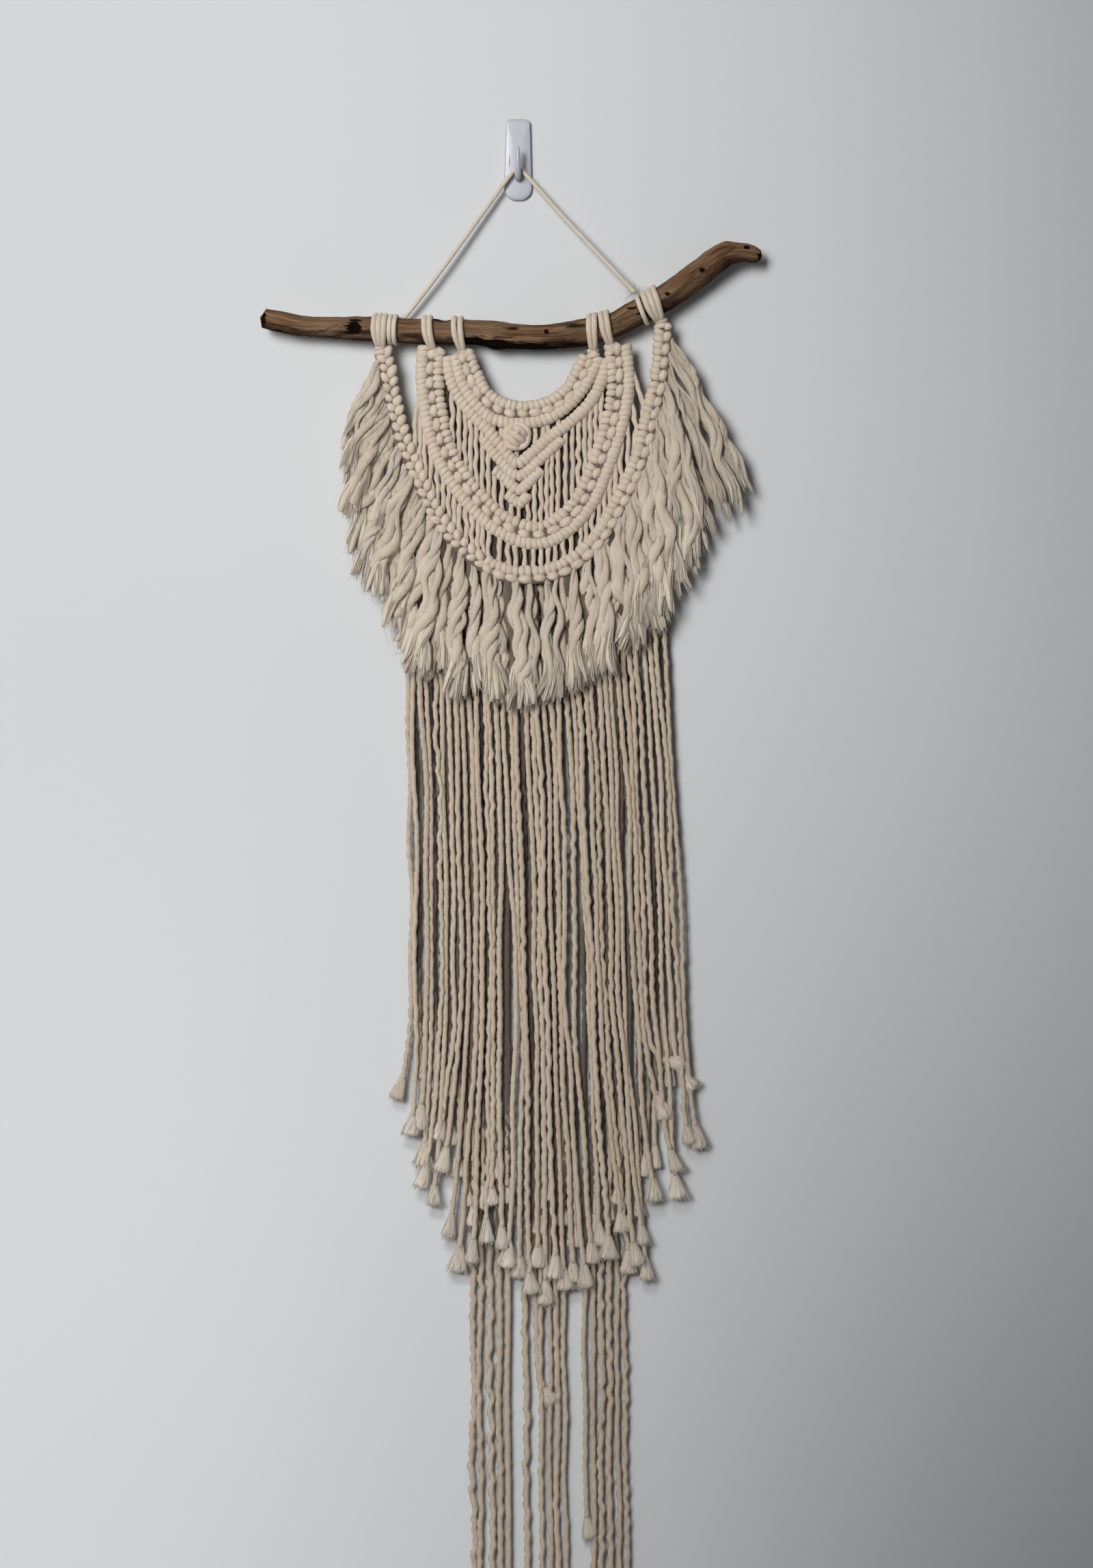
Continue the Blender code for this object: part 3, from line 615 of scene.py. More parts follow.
def makePanel():
    knots, bars = newStore(), newStore()
    middle = smoothLine(knottedPanel["middle"], 0.0045)
    middleBar = offsetLine(smoothLine(knottedPanel["middle"], 0.005), knottedPanel["barOffset"] * mm)
    collarBar = smoothLine(knottedPanel["collarBar"], 0.005)
    secondBar = smoothLine(knottedPanel["secondBar"], 0.005)
    chevrons = [smoothLine(places, 0.005) for places in knottedPanel["chevrons"]]
    squareKnots(knots, "outer", knottedPanel["beadShare"])
    squareKnots(knots, "middle")
    squareKnots(knots, "collar")
    for line in (middleBar, collarBar, secondBar):
        hitchedBar(bars, line)
    for line in chevrons:
        hitchedBar(bars, line, "chevronBar")
    first, last, spacing = knottedPanel["behind"]
    for x in np.arange(first, last, spacing) * mm:
        z = heightAt(collarBar, x) or heightAt(secondBar, x) or -0.19
        lowX = x + dice.normal(0, 0.0006)
        # painted shade: the cords behind the net are painted dark on their front
        netCord(bars, x, z, lowX, heightAt(outerArc, x) + 0.004, depth=-0.0068, toneAndShade=dice.uniform(-0.95, -0.75))
    for x in np.array(knottedPanel["upperNet"]) * mm:
        above = min(z for z in (heightAt(line, x) for line in (secondBar, *chevrons)) if z is not None)
        netCord(bars, x, above, x, heightAt(middle, x))
    for x in np.array(knottedPanel["lowerNet"]) * mm:
        netCord(bars, x, heightAt(middleBar, x), x, heightAt(outerArc, x))
    for x, top, lowX in np.array(knottedPanel["sideCords"]) * mm:
        netCord(bars, x, top, lowX, heightAt(outerArc, lowX))
    for x in np.array(knottedPanel["innerCords"]) * mm:
        netCord(bars, x, heightAt(collarBar, x), x, heightAt(secondBar, x), depth=-0.001)
    berryKnot(knots)
    x = knottedPanel["berry"][0] * mm
    netCord(bars, x, heightAt(collarBar, x), x, heightAt(secondBar, x), depth=-0.002)
    loopRadius = knottedPanel["loopRadius"] * mm
    for headX, loops, lean in knottedPanel["loops"]:
        height, radius, slope = branchAt(headX * mm)
        headZ = height - radius / math.cos(slope) - 0.0048
        for x in loops:
            head = (headX * mm + (x - headX) * 0.3 * mm, headZ)
            turn = branchTurn(x * mm, lean, loopRadius, head=head)
            sweep(knots, turn, loopRadius, sides=10, toneAndShade=dice.uniform(0.5, 0.8), back=(1, 0, 0), **knotCord)
        for drop, wide in np.array(knottedPanel["headRings"]) * mm:
            ring = np.linspace(-math.pi * 0.95, math.pi * 0.95, 20)
            route = rowsOf(headX * mm + wide * np.sin(ring), panelY - wide * np.cos(ring),
                           headZ - drop + 0.0006 * np.sin(ring))
            sweep(knots, route, 0.0025, sides=9, toneAndShade=dice.uniform(0.5, 0.8), back=(0, 0, 1), **knotCord)
    finishPiece("squareKnotArcs", knots, cotton["cottonCord"], ("knotted_panel",))
    finishPiece("hitchedBarsAndNet", bars, cotton["cottonCord"])


makePanel()

print("long strands")
longStrands = {
    "radius": 2.5,
    "layers": (-9.6, -12.6, -11.0),  # y of the three layers that the cords lie in by turns
    "span": (-94.5, 139),  # x of the first and last cord at the upper bend
    "bends": (-582, -750),
    "drift": 8,  # how far the last cord runs out to the side between the bends
    "gaps": ((-7, 4.2), (54.6, 3.8)),  # x of a gap between the cords, and how far they part
    "behindRadius": 2.4, "behindY": -6.2,
    # columns: x, z of the lower end of each cord of the row behind
    "behind": ((-91, -790), (-84, -800), (-77, -836), (-70, -846), (-63, -852), (-56, -880), (-50, -905),
               (-43, -920), (-35, -905), (-24, -880), (-13, -905), (15, -930), (24, -900), (35, -925),
               (46, -940), (64, -930), (76, -915), (86, -900), (95, -905), (103, -915), (110, -880),
               (117, -870), (124, -785), (130, -800)),
    # columns: x, z of each cord's frayed end, from left to right
    "tips": ((-101, -827), (-92, -860), (-86, -850), (-82, -884), (-80, -903), (-73, -921), (-67, -865),
             (-63, -888), (-58, -947), (-51, -976), (-40, -969), (-28, -951), (-23, -924), (-15, -957),
             (-8, -972), (2, -985), (10, -999), (18, -976), (25, -1005), (33, -983), (41, -997),
             (49, -990), (58, -991), (65, -972), (71, -955), (79, -966), (90, -945), (97, -979),
             (103, -972), (108, -957), (113, -985), (118, -915), (122, -842), (128, -811), (134, -890),
             (139, -913), (144, -821), (149, -869), (156, -869)),
}
lowerStrands = {
    "radius": 2.6,
    "layers": (-4.7, -5.9, -5.3),
    "bends": (-620, -1030),
    "shaded": -985,  # above this height they are painted in shade, where the long strands hide them
    # columns: x high up, x and z of each cord's frayed end
    "tips": ((-40, -39, -1268), (-34, -33, -1297), (-27, -22, -1284), (-18, -15, -1312), (-10, -8, -1325),
             (5, 9, -1338), (11, 21, -1100), (18, 22, -1346), (27, 29, -1352), (32, 36, -1338),
             (38, 43, -1345), (58, 60, -1215), (66, 67, -1330), (73, 74, -1322), (79, 82, -1335),
             (85, 90, -1308), (91, 97, -1290)),
}


def hangingStrand(store, points, radius, depthSpread, shade=None, tone=0.7):
    line = smoothLine(np.array(points) / mm, 0.0027)
    along = walkedLength(line)
    fade = np.clip(along / 0.03, 0, 1)
    line[:, 0] += fade * wander(along, (0.09, 0.26), 0.0012)
    line[:, 1] += fade * wander(along, (0.12, 0.3), depthSpread)
    toneAndShade = dice.uniform(0, tone)
    tonesAndShades = toneAndShade
    if shade is not None:
        tonesAndShades = np.interp(line[:, 2], (shade, shade + 0.05), (toneAndShade, -0.85))  # painted shade higher up, where other cords hide it
    thick = radius * dice.uniform(0.86, 1.08)
    period, wobble = dice.uniform(0.0085, 0.012), dice.uniform(0.0001, 0.00032)
    softCord(store, line, thick, period, wobble, tonesAndShades, sides=6, depth=0.17)
    return line[-1], unit(line[-1] - line[-4]), toneAndShade


def frayedTip(store, end, ahead, toneAndShade, count=90, length=0.024, flare=0.008):
    # a cord's end combed open into a soft brush: a full core, and fibres over it
    side = unit(np.cross(ahead, (0, 1, 0)))
    front = np.cross(ahead, side)
    length = length * dice.uniform(0.85, 1.2)
    flare = flare * dice.uniform(0.7, 1.2)
    lean = dice.normal(0, 0.0012)
    neck = end - ahead * 0.004

    def brushWay(steps):
        return ahead * steps[:, None] * length + side * (lean * steps ** 2)[:, None]

    steps = np.linspace(0, 1, 8)
    core = 0.002 + 0.86 * flare * steps ** 1.15 * np.sqrt(1 - 0.35 * steps ** 4)
    sweep(store, neck + brushWay(steps) * 0.86, core, sides=14, toneAndShade=np.clip(toneAndShade - 0.3 + 0.8 * steps, 0, 1),
          lobeDepth=0.1, lobes=5, twist=14, squeeze=0.55)
    steps = np.linspace(0.1, 1, 4)
    way = brushWay(steps)
    for _ in range(count):
        inner = math.sqrt(dice.uniform(0.3, 1))
        out = inner * (0.0018 + flare * steps ** dice.uniform(1.0, 1.4))
        turned = dice.uniform(0, 2 * math.pi) + 0.5 * steps
        route = (neck + way * dice.uniform(0.84, 1.03) * (1.06 - 0.1 * inner ** 2)
                 + beside(side, front, out * np.cos(turned), 0.55 * out * np.sin(turned)))
        sweep(store, route, 0.00024 * (1.2 - 0.6 * steps) * dice.uniform(0.7, 1.3), sides=3,
              toneAndShade=np.clip(toneAndShade + dice.uniform(-0.6, 0.4) + 0.7 * steps, 0, 1), ends=False)


def partAt(x, gaps):
    # cords beside a gap lean away from it
    for middle, width in gaps:
        away = x / mm - middle
        x = x + math.copysign(width * mm, away) * math.exp(-(away / 14) ** 2)
    return x


def makeLongStrands():
    cords, tips = newStore(), newStore()
    inner = outerArc[(outerArc[:, 0] > -0.105) & (outerArc[:, 1] < -0.215)]
    rootLeft, rootRight = inner[0, 0] + 0.001, inner[-1, 0] - 0.001
    last = len(longStrands["tips"]) - 1
    firstX, lastX = longStrands["span"]
    upper, lower = longStrands["bends"]
    for i, (tipX, tipZ) in enumerate(longStrands["tips"]):
        share = i / last
        rootX = rootLeft + (rootRight - rootLeft) * share
        highX = (firstX + (lastX - firstX) * share) * mm
        highX += dice.normal(0, 0.0011) if 0 < i < last else 0
        y = longStrands["layers"][i % 3] * mm
        lowX = partAt(highX + longStrands["drift"] * share * mm, longStrands["gaps"])
        points = [(rootX, y, heightAt(inner, rootX)), (0.4 * rootX + 0.6 * highX, y, -0.46),
                  (highX, y, upper * mm), (lowX, y, lower * mm),
                  (0.3 * lowX + 0.7 * tipX * mm, y, (0.3 * lower + 0.7 * tipZ) * mm),
                  (tipX * mm, y, (tipZ + 17) * mm)]
        end, ahead, toneAndShade = hangingStrand(cords, points, longStrands["radius"] * mm, 0.0006)
        frayedTip(tips, end, ahead, toneAndShade)
    y, radius = longStrands["behindY"] * mm, longStrands["behindRadius"] * mm
    for x, z in np.array(longStrands["behind"]) * mm:
        points = [(x, y, (heightAt(outerArc, x) or -0.27) - 0.004), (x, y, -0.48), (x + 0.003, y, -0.62),
                  (x + 0.004, y, z + 0.04), (x + 0.004, y, z)]
        # painted shade on the row behind, above its lower end
        end, ahead, toneAndShade = hangingStrand(cords, points, radius, 0.0003, shade=z + 0.03)
        frayedTip(tips, end, ahead, toneAndShade, count=30, flare=0.006)
    finishPiece("longStrands", cords, cotton["cottonStrand"], ("long_strands",))
    finishPiece("longStrandTips", tips, cotton["cottonBrush"])


def makeLowerStrands():
    cords, tips = newStore(), newStore()
    upper, lower = lowerStrands["bends"]
    for i, (highX, tipX, tipZ) in enumerate(lowerStrands["tips"]):
        y = lowerStrands["layers"][i % 3] * mm
        points = [(highX * mm, y, heightAt(outerArc, highX * mm)), (highX * mm, y, -0.5),
                  (highX * mm, y, upper * mm), ((highX + tipX) / 2 * mm, y, max(lower, tipZ + 60) * mm),
                  (tipX * mm, y, (tipZ + 17) * mm)]
        # painted shade: a low tone makes the lower strands darker, as the light falls off low down
        end, ahead, toneAndShade = hangingStrand(cords, points, lowerStrands["radius"] * mm, 0.0004,
                                         shade=lowerStrands["shaded"] * mm, tone=0.35)
        frayedTip(tips, end, ahead, toneAndShade, flare=0.0065)
    finishPiece("lowerStrands", cords, cotton["cottonStrand"], ("lower_strands",))
    finishPiece("lowerStrandTips", tips, cotton["cottonBrush"])


makeLongStrands()
makeLowerStrands()

print("fringe")
fringe = {
    "locks": 40,
    "width": 7.6,  # half of a full lock
    "offset": 4.0,  # from the outer arc's centre line to the locks' roots
    "backRow": 30, "backRadius": 6.2,  # locks behind the others that close the gaps, painted in shade in the middle and on the right
    "curls": 18,  # thin cords over the locks
    "extra": 7,  # short locks that fill the left side, and twice as many on the right
    # depth in front of the panel: the back row, the short locks, the curls
    "backDepth": -1.2, "extraDepth": 3.6, "curlDepth": 9.2,
    # the locks lie in front and behind by turns. Columns: depth, least and greatest size, how much is cut off
    "rows": ((6.6, 0.85, 1.2, 0.06), (1.2, 0.7, 1.0, 0.12)),
    "tuftsPerMetre": 620,  # tufts for each metre that a lock fans out
    "fibresPerTuft": 8,
    # in a lock of one, two or three plies: each ply's radius and how far out it lies, as shares of its width
    "plyRadius": (0.95, 0.68, 0.58), "plyAway": (0, 0.46, 0.54),
    # columns: share of the way along the outer arc, x and z of a lock's tip there, how wide the locks are,
    # how far they fan out at the end, how many loose hairs
    "tips": ((0.0, -148, -250, 0.7, 7, 60), (0.07, -151, -290, 0.8, 8, 70), (0.14, -147, -366, 0.9, 8, 70),
             (0.22, -121, -399, 1.0, 9, 60), (0.30, -95, -455, 1.1, 10, 40), (0.34, -71, -480, 1.0, 13, 26),
             (0.40, -28, -485, 0.87, 11, 22), (0.46, 3, -488, 0.82, 11, 20), (0.52, 31, -483, 0.82, 11, 20),
             (0.58, 61, -474, 0.88, 12, 16), (0.64, 88, -450, 0.96, 13, 16), (0.70, 110, -430, 1.0, 12, 16),
             (0.76, 126, -411, 0.95, 11, 16), (0.82, 140, -390, 0.85, 11, 16), (0.88, 157, -366, 0.75, 9, 16),
             (0.93, 173, -337, 0.65, 8, 16), (0.97, 191, -319, 0.6, 7, 14), (1.0, 208, -305, 0.6, 6, 12)),
}


def readAt(rows, shares):
    # a table of rows read at shares of the way through it
    index = shares * (len(rows) - 1)
    return np.stack([np.interp(index, range(len(rows)), column) for column in rows.T], axis=1)


def lockFrame(root, tip, depth, wave):
    # the middle line of a lock that waves down from its knot, with its own sideways and forward directions
    steps = np.linspace(0, 1, 42)
    along = steps * math.hypot(tip[0] - root[0], tip[1] - root[1])
    swing = 1 - (1 - steps) ** dice.uniform(0.85, 1.7)
    turn = 2 * math.pi * (along / dice.uniform(0.027, 0.075) + dice.uniform())
    waving = wave * np.clip(steps * 6, 0, 1) * np.clip((1.1 - steps) * 3, 0, 1)
    free = np.minimum(1, steps * 3)
    x = root[0] + (tip[0] - root[0]) * swing + waving * np.sin(turn)
    x = x + wander(along, (0.04, 0.12), 0.0028) * free
    y = panelY - depth * free ** 0.7 + 0.4 * waving * np.cos(turn)
    route = rowsOf(x, y, root[1] + (tip[1] - root[1]) * steps)
    ahead = unit(np.gradient(route, axis=0))
    side = unit(np.cross(ahead, (0, 1, 0)))
    return steps, along, route, side, np.cross(ahead, side)


def brushedLock(cores, fibres, lockLines, wide, plies, fan, hairs, toneAndShade):
    # plies of combed cord wound round each other, which part into pointed tufts at the end
    steps, along, route, side, front = lockLines
    width = wide * np.interp(steps, (0, 0.06, 0.24, 0.6, 1), (0.42, 0.5, 0.86, 1.0, 1.0))
    width = width * (1 + wander(along, (0.03, 0.08), 0.16))
    period = plies * dice.uniform(0.02, 0.034)
    rope = 2 * math.pi * (along / period + dice.uniform() + wander(along, (0.04, 0.1), 0.12))
    body = steps < 0.86
    shrink = np.interp(steps, (0, 0.62, 0.86), (1, 1, 0.5))
    for ply in range(plies):
        turned = rope + 2 * math.pi * ply / plies
        away = fringe["plyAway"][plies - 1] * width
        line = route + beside(side, front, away * np.cos(turned), 0.7 * away * np.sin(turned))
        thick = fringe["plyRadius"][plies - 1] * width * shrink * (1 + wander(along, (0.02, 0.05), 0.16))
        thick = thick * dice.uniform(0.85, 1.15)
        plyTint = np.clip(toneAndShade + dice.uniform(-0.2, 0.2) + 0.2 * steps[body], 0, 1)
        sweep(cores, line[body], thick[body], sides=12, toneAndShade=plyTint, lobes=4, lobeDepth=0.12, twist=30,
              squeeze=0.85)
    tufts = max(3, round(fan * fringe["tuftsPerMetre"] * dice.uniform(0.85, 1.15)))
    for tuft in range(tufts):
        place = (2 * tuft + 1) / tufts - 1 + dice.normal(0, 0.1)
        lift = math.sqrt(max(0, 1 - place ** 2)) * dice.uniform(-0.8, 1)
        start, end = dice.uniform(0.52, 0.66), dice.uniform(0.9, 1.0)
        shares = np.linspace(start, end, 10)
        part = (shares - start) / (end - start)
        reach = np.interp(shares, steps, width) * 0.6 * (1 - part) + fan * part ** 1.3
        bend = dice.normal(0, 0.0016) * part ** 2
        sides, fronts = readAt(side, shares), readAt(front, shares)
        middle = readAt(route, shares) + beside(sides, fronts, place * reach + bend, 0.5 * lift * reach)
        thick = wide * dice.uniform(0.75, 1.2) * np.interp(part, (0, 0.3, 0.7, 1), (0.2, 0.5, 0.48, 0.2))
        tone = toneAndShade + dice.uniform(-0.15, 0.25)
        sweep(fibres, middle, thick, sides=7, toneAndShade=np.clip(tone + 0.45 * part, 0, 1), lobes=3, lobeDepth=0.12,
              twist=22, squeeze=0.75)
        for _ in range(fringe["fibresPerTuft"]):
            first = dice.integers(1, 5)
            rows = np.linspace(first, 9, 5).astype(int)
            angle = dice.uniform(0, 2 * math.pi) + 1.2 * part[rows]
            loose = thick[rows] * 0.92 + dice.uniform(0.0002, 0.0018) * part[rows] ** 2
            apart = beside(sides[rows], fronts[rows], loose * np.cos(angle), loose * np.sin(angle))
            path = middle[rows] + apart
            path[:, 2] -= dice.uniform(-0.001, 0.005) * part[rows] ** 2
            fine = 0.0004 * dice.uniform(0.6, 1.3) * np.array((0.5, 1, 1, 0.8, 0.4))
            fibreTint = np.clip(tone + dice.normal(0.15, 0.1) + 0.3 * part[rows], 0, 1)
            sweep(fibres, path, fine, sides=3, toneAndShade=fibreTint, ends=False)
    skin = np.flatnonzero(steps > 0.2)
    chosen = skin[dice.integers(len(skin), size=40)]
    angle = dice.uniform(0, 2 * math.pi, 40)
    outward = beside(side[chosen], front[chosen], np.cos(angle), np.sin(angle))
    roots = route[chosen] + outward * width[chosen][:, None] * 0.8
    addHairs(fibres, roots, outward + (0, 0, -0.9), (0.003, 0.009), round(1.3 * hairs), radius=0.00014)


def makeFringe():
    cores, fibres = newStore(), newStore()
    line = offsetLine(smoothLine(knottedPanel["outer"], 0.004), fringe["offset"] * mm)
    table = np.array(fringe["tips"])

    def lockAt(share):
        root = readAt(line, np.array([0.01 + 0.98 * share]))[0]
        tipX, tipZ, wide, fan, hairs = (np.interp(share, table[:, 0], column) for column in table.T[1:])
        return root, np.array((tipX, tipZ)) * mm, wide, fan, hairs

    def lock(share, depth, big, plies, wave, shorter, spread=1.0, fuzz=1.0):
        root, tip, wide, fan, hairs = lockAt(share)
        lockLines = lockFrame(root, tip + (root - tip) * shorter, depth, wave)
        width = fringe["width"] * mm * wide * big
        fan = fan * mm * spread * dice.uniform(0.8, 1.2)
        brushedLock(cores, fibres, lockLines, width, plies, fan, round(hairs * fuzz), dice.uniform(0.0, 0.8))

    for i in range(fringe["backRow"]):
        share = (i + 0.5) / fringe["backRow"]
        root, tip = lockAt(share)[:2]
        depth = fringe["backDepth"] * mm
        steps, _, route = lockFrame(root, tip + (root - tip) * 0.16, depth, 0.001)[:3]
        thick = fringe["backRadius"] * mm * np.interp(steps, (0, 0.1, 0.3, 0.9, 1), (0.5, 0.7, 1, 1, 0.4))
        # painted shade on the back row: deep in the middle, lighter on the right, none on the left
        if 0.3 < share < 0.75:
            toneAndShade = dice.uniform(-0.95, -0.8)  # painted deep shade behind the middle locks
        else:
            toneAndShade = 0.1 if share < 0.3 else -0.3
        sweep(cores, route, thick, sides=10, toneAndShade=toneAndShade, lobes=3, lobeDepth=0.12, twist=16, squeeze=0.7)
    for i in range(fringe["locks"]):
        depth, least, most, cut = fringe["rows"][i % 2]
        share = (i + dice.uniform(-0.15, 0.15)) / (fringe["locks"] - 1)
        big, plies, wave = dice.uniform(least, most), int(dice.integers(2, 4)), dice.uniform(0.0005, 0.0021)
        lock(share, depth * mm, big, plies, wave, dice.uniform(0, cut))
    for share in (*dice.uniform(0, 0.3, fringe["extra"]), *dice.uniform(0.74, 1, 2 * fringe["extra"])):
        big, wave = dice.uniform(0.6, 0.85), dice.uniform(0.001, 0.0026)
        lock(share, fringe["extraDepth"] * mm, big, 2, wave, dice.uniform(0.08, 0.4), spread=0.7)
    for i in range(fringe["curls"]):
        share = (i + dice.uniform(0.2, 0.8)) / fringe["curls"]
        wave, shorter = dice.uniform(0.0016, 0.0034), dice.uniform(0.05, 0.4)
        lock(share, fringe["curlDepth"] * mm, 0.42, 1, wave, shorter, spread=0.4, fuzz=0.3)
    finishPiece("fringeLocks", cores, cotton["cottonFringe"], ("fringe",))
    finishPiece("fringeFibres", fibres, cotton["cottonCombed"])


makeFringe()

print("driftwood branch")
driftwood = {
    "roughness": 0.82, "step": 0.95, "sides": 60,  # step: along the branch from one ring of points to the next
    # columns: place on the grain's scale, the wood's colour there. The two ends come first
    "tones": ((0.34, (0.022, 0.011, 0.006, 1)), (0.66, (0.33, 0.205, 0.118, 1)),
              (0.43, (0.072, 0.034, 0.018, 1)), (0.50, (0.145, 0.082, 0.046, 1)),
              (0.57, (0.22, 0.135, 0.079, 1))),
    # the underside colour is painted shade, where the branch faces down
    "weathered": (0.24, 0.162, 0.102, 1), "underShadeColour": (0.022, 0.011, 0.007, 1),
    # the charred colour is char, and painted shade in the hollows, the knot hole and the cracks
    "charredAndHollowShade": (0.006, 0.004, 0.003, 1),
    "grain": ((1.5, 8.0, 0.8), (6.5, 24.0, 0.4)),  # columns: streaks round the branch, along it, distortion
    # columns: x, z, radius along the branch, radius round it, depth of the hollow (a lump if below 0)
    "hollows": ((-143.4, -150.5, 4.2, 3.6, 2.6), (-211, -154.5, 3.6, 2, 1.4), (25, -154.3, 2.4, 1.8, 1.6),
                (131.5, -122, 1.8, 1.5, 1.2), (161, -100.4, 2, 2, 0.8), (200.6, -80.7, 2, 1.6, 1.2),
                (-64, -143, 6, 3, 1.6), (-20, -170, 9, 4, -1.6), (-34, -165, 6, 4, 1.0),
                (184, -74.5, 5, 4, -1.1), (50, -146, 9, 3, 0.8)),
    # columns: x, z, radius along, radius round, how dark. Char and stains, and painted shade at the hollows and
    # the knot hole
    "burnsAndHollowShade": ((-143.4, -150.5, 5.6, 4.8, 1.6), (-211, -154.5, 4.6, 2, 1.1), (25, -154.3, 2.6, 1.9, 1.2),
              (131.5, -122, 2, 1.5, 1.1), (161, -100.4, 2.6, 2, 0.8), (200.6, -80.7, 2.2, 1.8, 1.1),
              (-64, -143, 8, 2.6, 1.3), (-18, -167, 17, 5.2, 1.3), (-38, -163, 11, 3.6, 1.2),
              (10, -168, 22, 3.6, 1.0), (-24, -163, 18, 2.4, 0.7), (45, -165, 26, 3, 0.5),
              (-4, -151.5, 8, 2.2, 0.55), (50, -149, 14, 3, 0.5), (62, -151, 3, 1.4, 0.7),
              (100, -134, 8, 1.6, 0.6), (122, -134, 8, 3.4, 0.7), (112, -139, 9, 1.6, 0.7),
              (-223, -142, 1.8, 8, 0.9), (213, -88, 3, 3, 0.8)),
    # columns: rows of x and z, how wide, how dark. The dark along each crack is painted shade
    "cracks": (
        (((-199, -151), (-186, -155), (-170, -154), (-160, -150), (-146, -153), (-138, -155), (-124, -152)),
         0.8, 0.75),
        (((-190, -158), (-170, -160), (-150, -157), (-130, -155), (-118, -157)), 0.7, 0.8),
        (((-104, -151.4), (-92, -151), (-80, -152)), 0.5, 0.6),
        (((-104, -157.5), (-94, -159), (-88, -158)), 0.8, 0.7),
        (((88, -146), (108, -137), (128, -128), (150, -113), (165, -102), (182, -87), (190, -80)), 1.5, 0.7),
        (((140, -124), (160, -110), (176, -96), (186, -88)), 0.5, 0.5),
        (((84, -153), (100, -146), (118, -137)), 0.8, 0.6),
        (((-62, -160), (-46, -161), (-34, -163)), 0.9, 0.7),
        (((-30, -170), (10, -172), (54, -168)), 0.7, 0.5),
    ),
}


def makeDriftwoodMaterial():
    made, tree, shader = newMaterial("driftwood")
    turn, lengthwise = cordPlace(tree)
    angle = calc(tree, "MULTIPLY", turn, 2 * math.pi)
    heights = []
    for around, along, distortion in driftwood["grain"]:
        place = onCylinder(tree, angle, around, calc(tree, "MULTIPLY", lengthwise, along))
        heights.append(addNoise(tree, place, 1.5, detail=7.0, roughness=0.66, distortion=distortion))
    both = calc(tree, "ADD", *(calc(tree, "MULTIPLY", height, 0.5) for height in heights))
    tones = feed(tree, "ShaderNodeValToRGB", both)
    elements = tones.color_ramp.elements
    for i, (position, colour) in enumerate(driftwood["tones"]):
        element = elements[i] if i < 2 else elements.new(position)
        element.position, element.color = position, colour
    weathered = remap(tree, addNoise(tree, objectPlace(tree), 19.0, detail=5.0), 0.44, 0.62, 0.0, 0.4)
    colour = mixColour(tree, weathered, tones.outputs[0], driftwood["weathered"])
    # painted shade on the underside
    colour = mixColour(tree, readMask(tree, "underShade"), colour, driftwood["underShadeColour"])
    ragged = calc(tree, "MULTIPLY", calc(tree, "SUBTRACT", heights[1], 0.5), 1.1)
    # char and stains, and painted shade in the hollows and cracks
    edge = calc(tree, "ADD", calc(tree, "MULTIPLY", readMask(tree, "burnAndHollowShade"), 1.5), ragged)
    charredAndHollowShade = remap(tree, edge, 0.3, 0.8)
    addBump(tree, shader, calc(tree, "SUBTRACT", both, calc(tree, "MULTIPLY", charredAndHollowShade, 0.3)), 0.9, 0.0012)
    fill(tree, shader, {"Base Color": mixColour(tree, charredAndHollowShade, colour, driftwood["charredAndHollowShade"]),
                        "Roughness": driftwood["roughness"], "Specular IOR Level": 0.02})
    return made


def barkNoise(points, ways, lengthwise, shift, around, fade, finer):
    # lumps drawn out along the wood
    places = zip(points[:, 0] * lengthwise + shift, ways[:, 1] * around, ways[:, 2] * around)
    return np.array([noise.fractal(Vector(place), fade, finer, 4) for place in places])


def makeBranch():
    line = smoothLine(branchShape, driftwood["step"] * mm)
    sides = driftwood["sides"]
    route = rowsOf(line[:, 0], panelY, line[:, 1])
    store = newStore()
    sweep(store, route, line[:, 2], sides=sides)
    points = store["points"][0]
    spine = np.vstack((np.repeat(route, sides, axis=0), route[0], route[-1]))
    ways = unit(points - spine)
    x, y, z = (points / mm).T
    lumps = barkNoise(points, ways, 20, 0, 1.2, 0.7, 2.1)
    ridges = barkNoise(points, ways, 34, 5, 5, 0.6, 2.2)
    push = 0.9 * lumps + 0.5 * ridges  # out from the wood, in mm
    burnsAndHollowShade = np.zeros(len(points))
    front = y < panelY / mm + 3
    for cx, cz, wide, tall, deep in driftwood["hollows"]:
        push -= front * deep * np.exp(-1.4 * (((x - cx) / wide) ** 2 + ((z - cz) / tall) ** 2))
    # char and stains, and painted shade at the hollows
    for cx, cz, wide, tall, dark in driftwood["burnsAndHollowShade"]:
        near = (((x - cx) / wide) ** 2 + ((z - cz) / tall) ** 2) * np.clip(1 + 1.4 * ridges, 0.45, 2)
        burnsAndHollowShade = np.maximum(burnsAndHollowShade, front * dark * np.exp(-near ** 1.3))
    for places, wide, dark in driftwood["cracks"]:
        crack = smoothLine(places, 0.001) / mm
        crack[:, 1] += 0.5 * np.sin(crack[:, 0] * 0.9)
        near = np.min([np.hypot(x - cx, z - cz) for cx, cz in crack], axis=0)
        push -= front * 0.8 * np.exp(-(near / wide) ** 2)
        # painted shade along the crack
        burnsAndHollowShade = np.maximum(burnsAndHollowShade, front * 0.55 * dark * np.exp(-(near / (1.7 * wide)) ** 2))
    points += ways * (push * mm)[:, None]
    # painted shade: darker where the wood faces down
    underShade = np.clip((-ways[:, 2] - 0.3 + 0.8 * lumps) * 1.3, 0, 0.85)
    branch = finishPiece("driftwoodBranch", store, makeDriftwoodMaterial(), ("branch",))
    for name, values in (("burnAndHollowShade", burnsAndHollowShade), ("underShade", underShade)):
        branch.data.attributes.new(name, "FLOAT", "POINT").data.foreach_set("value", values.astype(np.float32))


makeBranch()

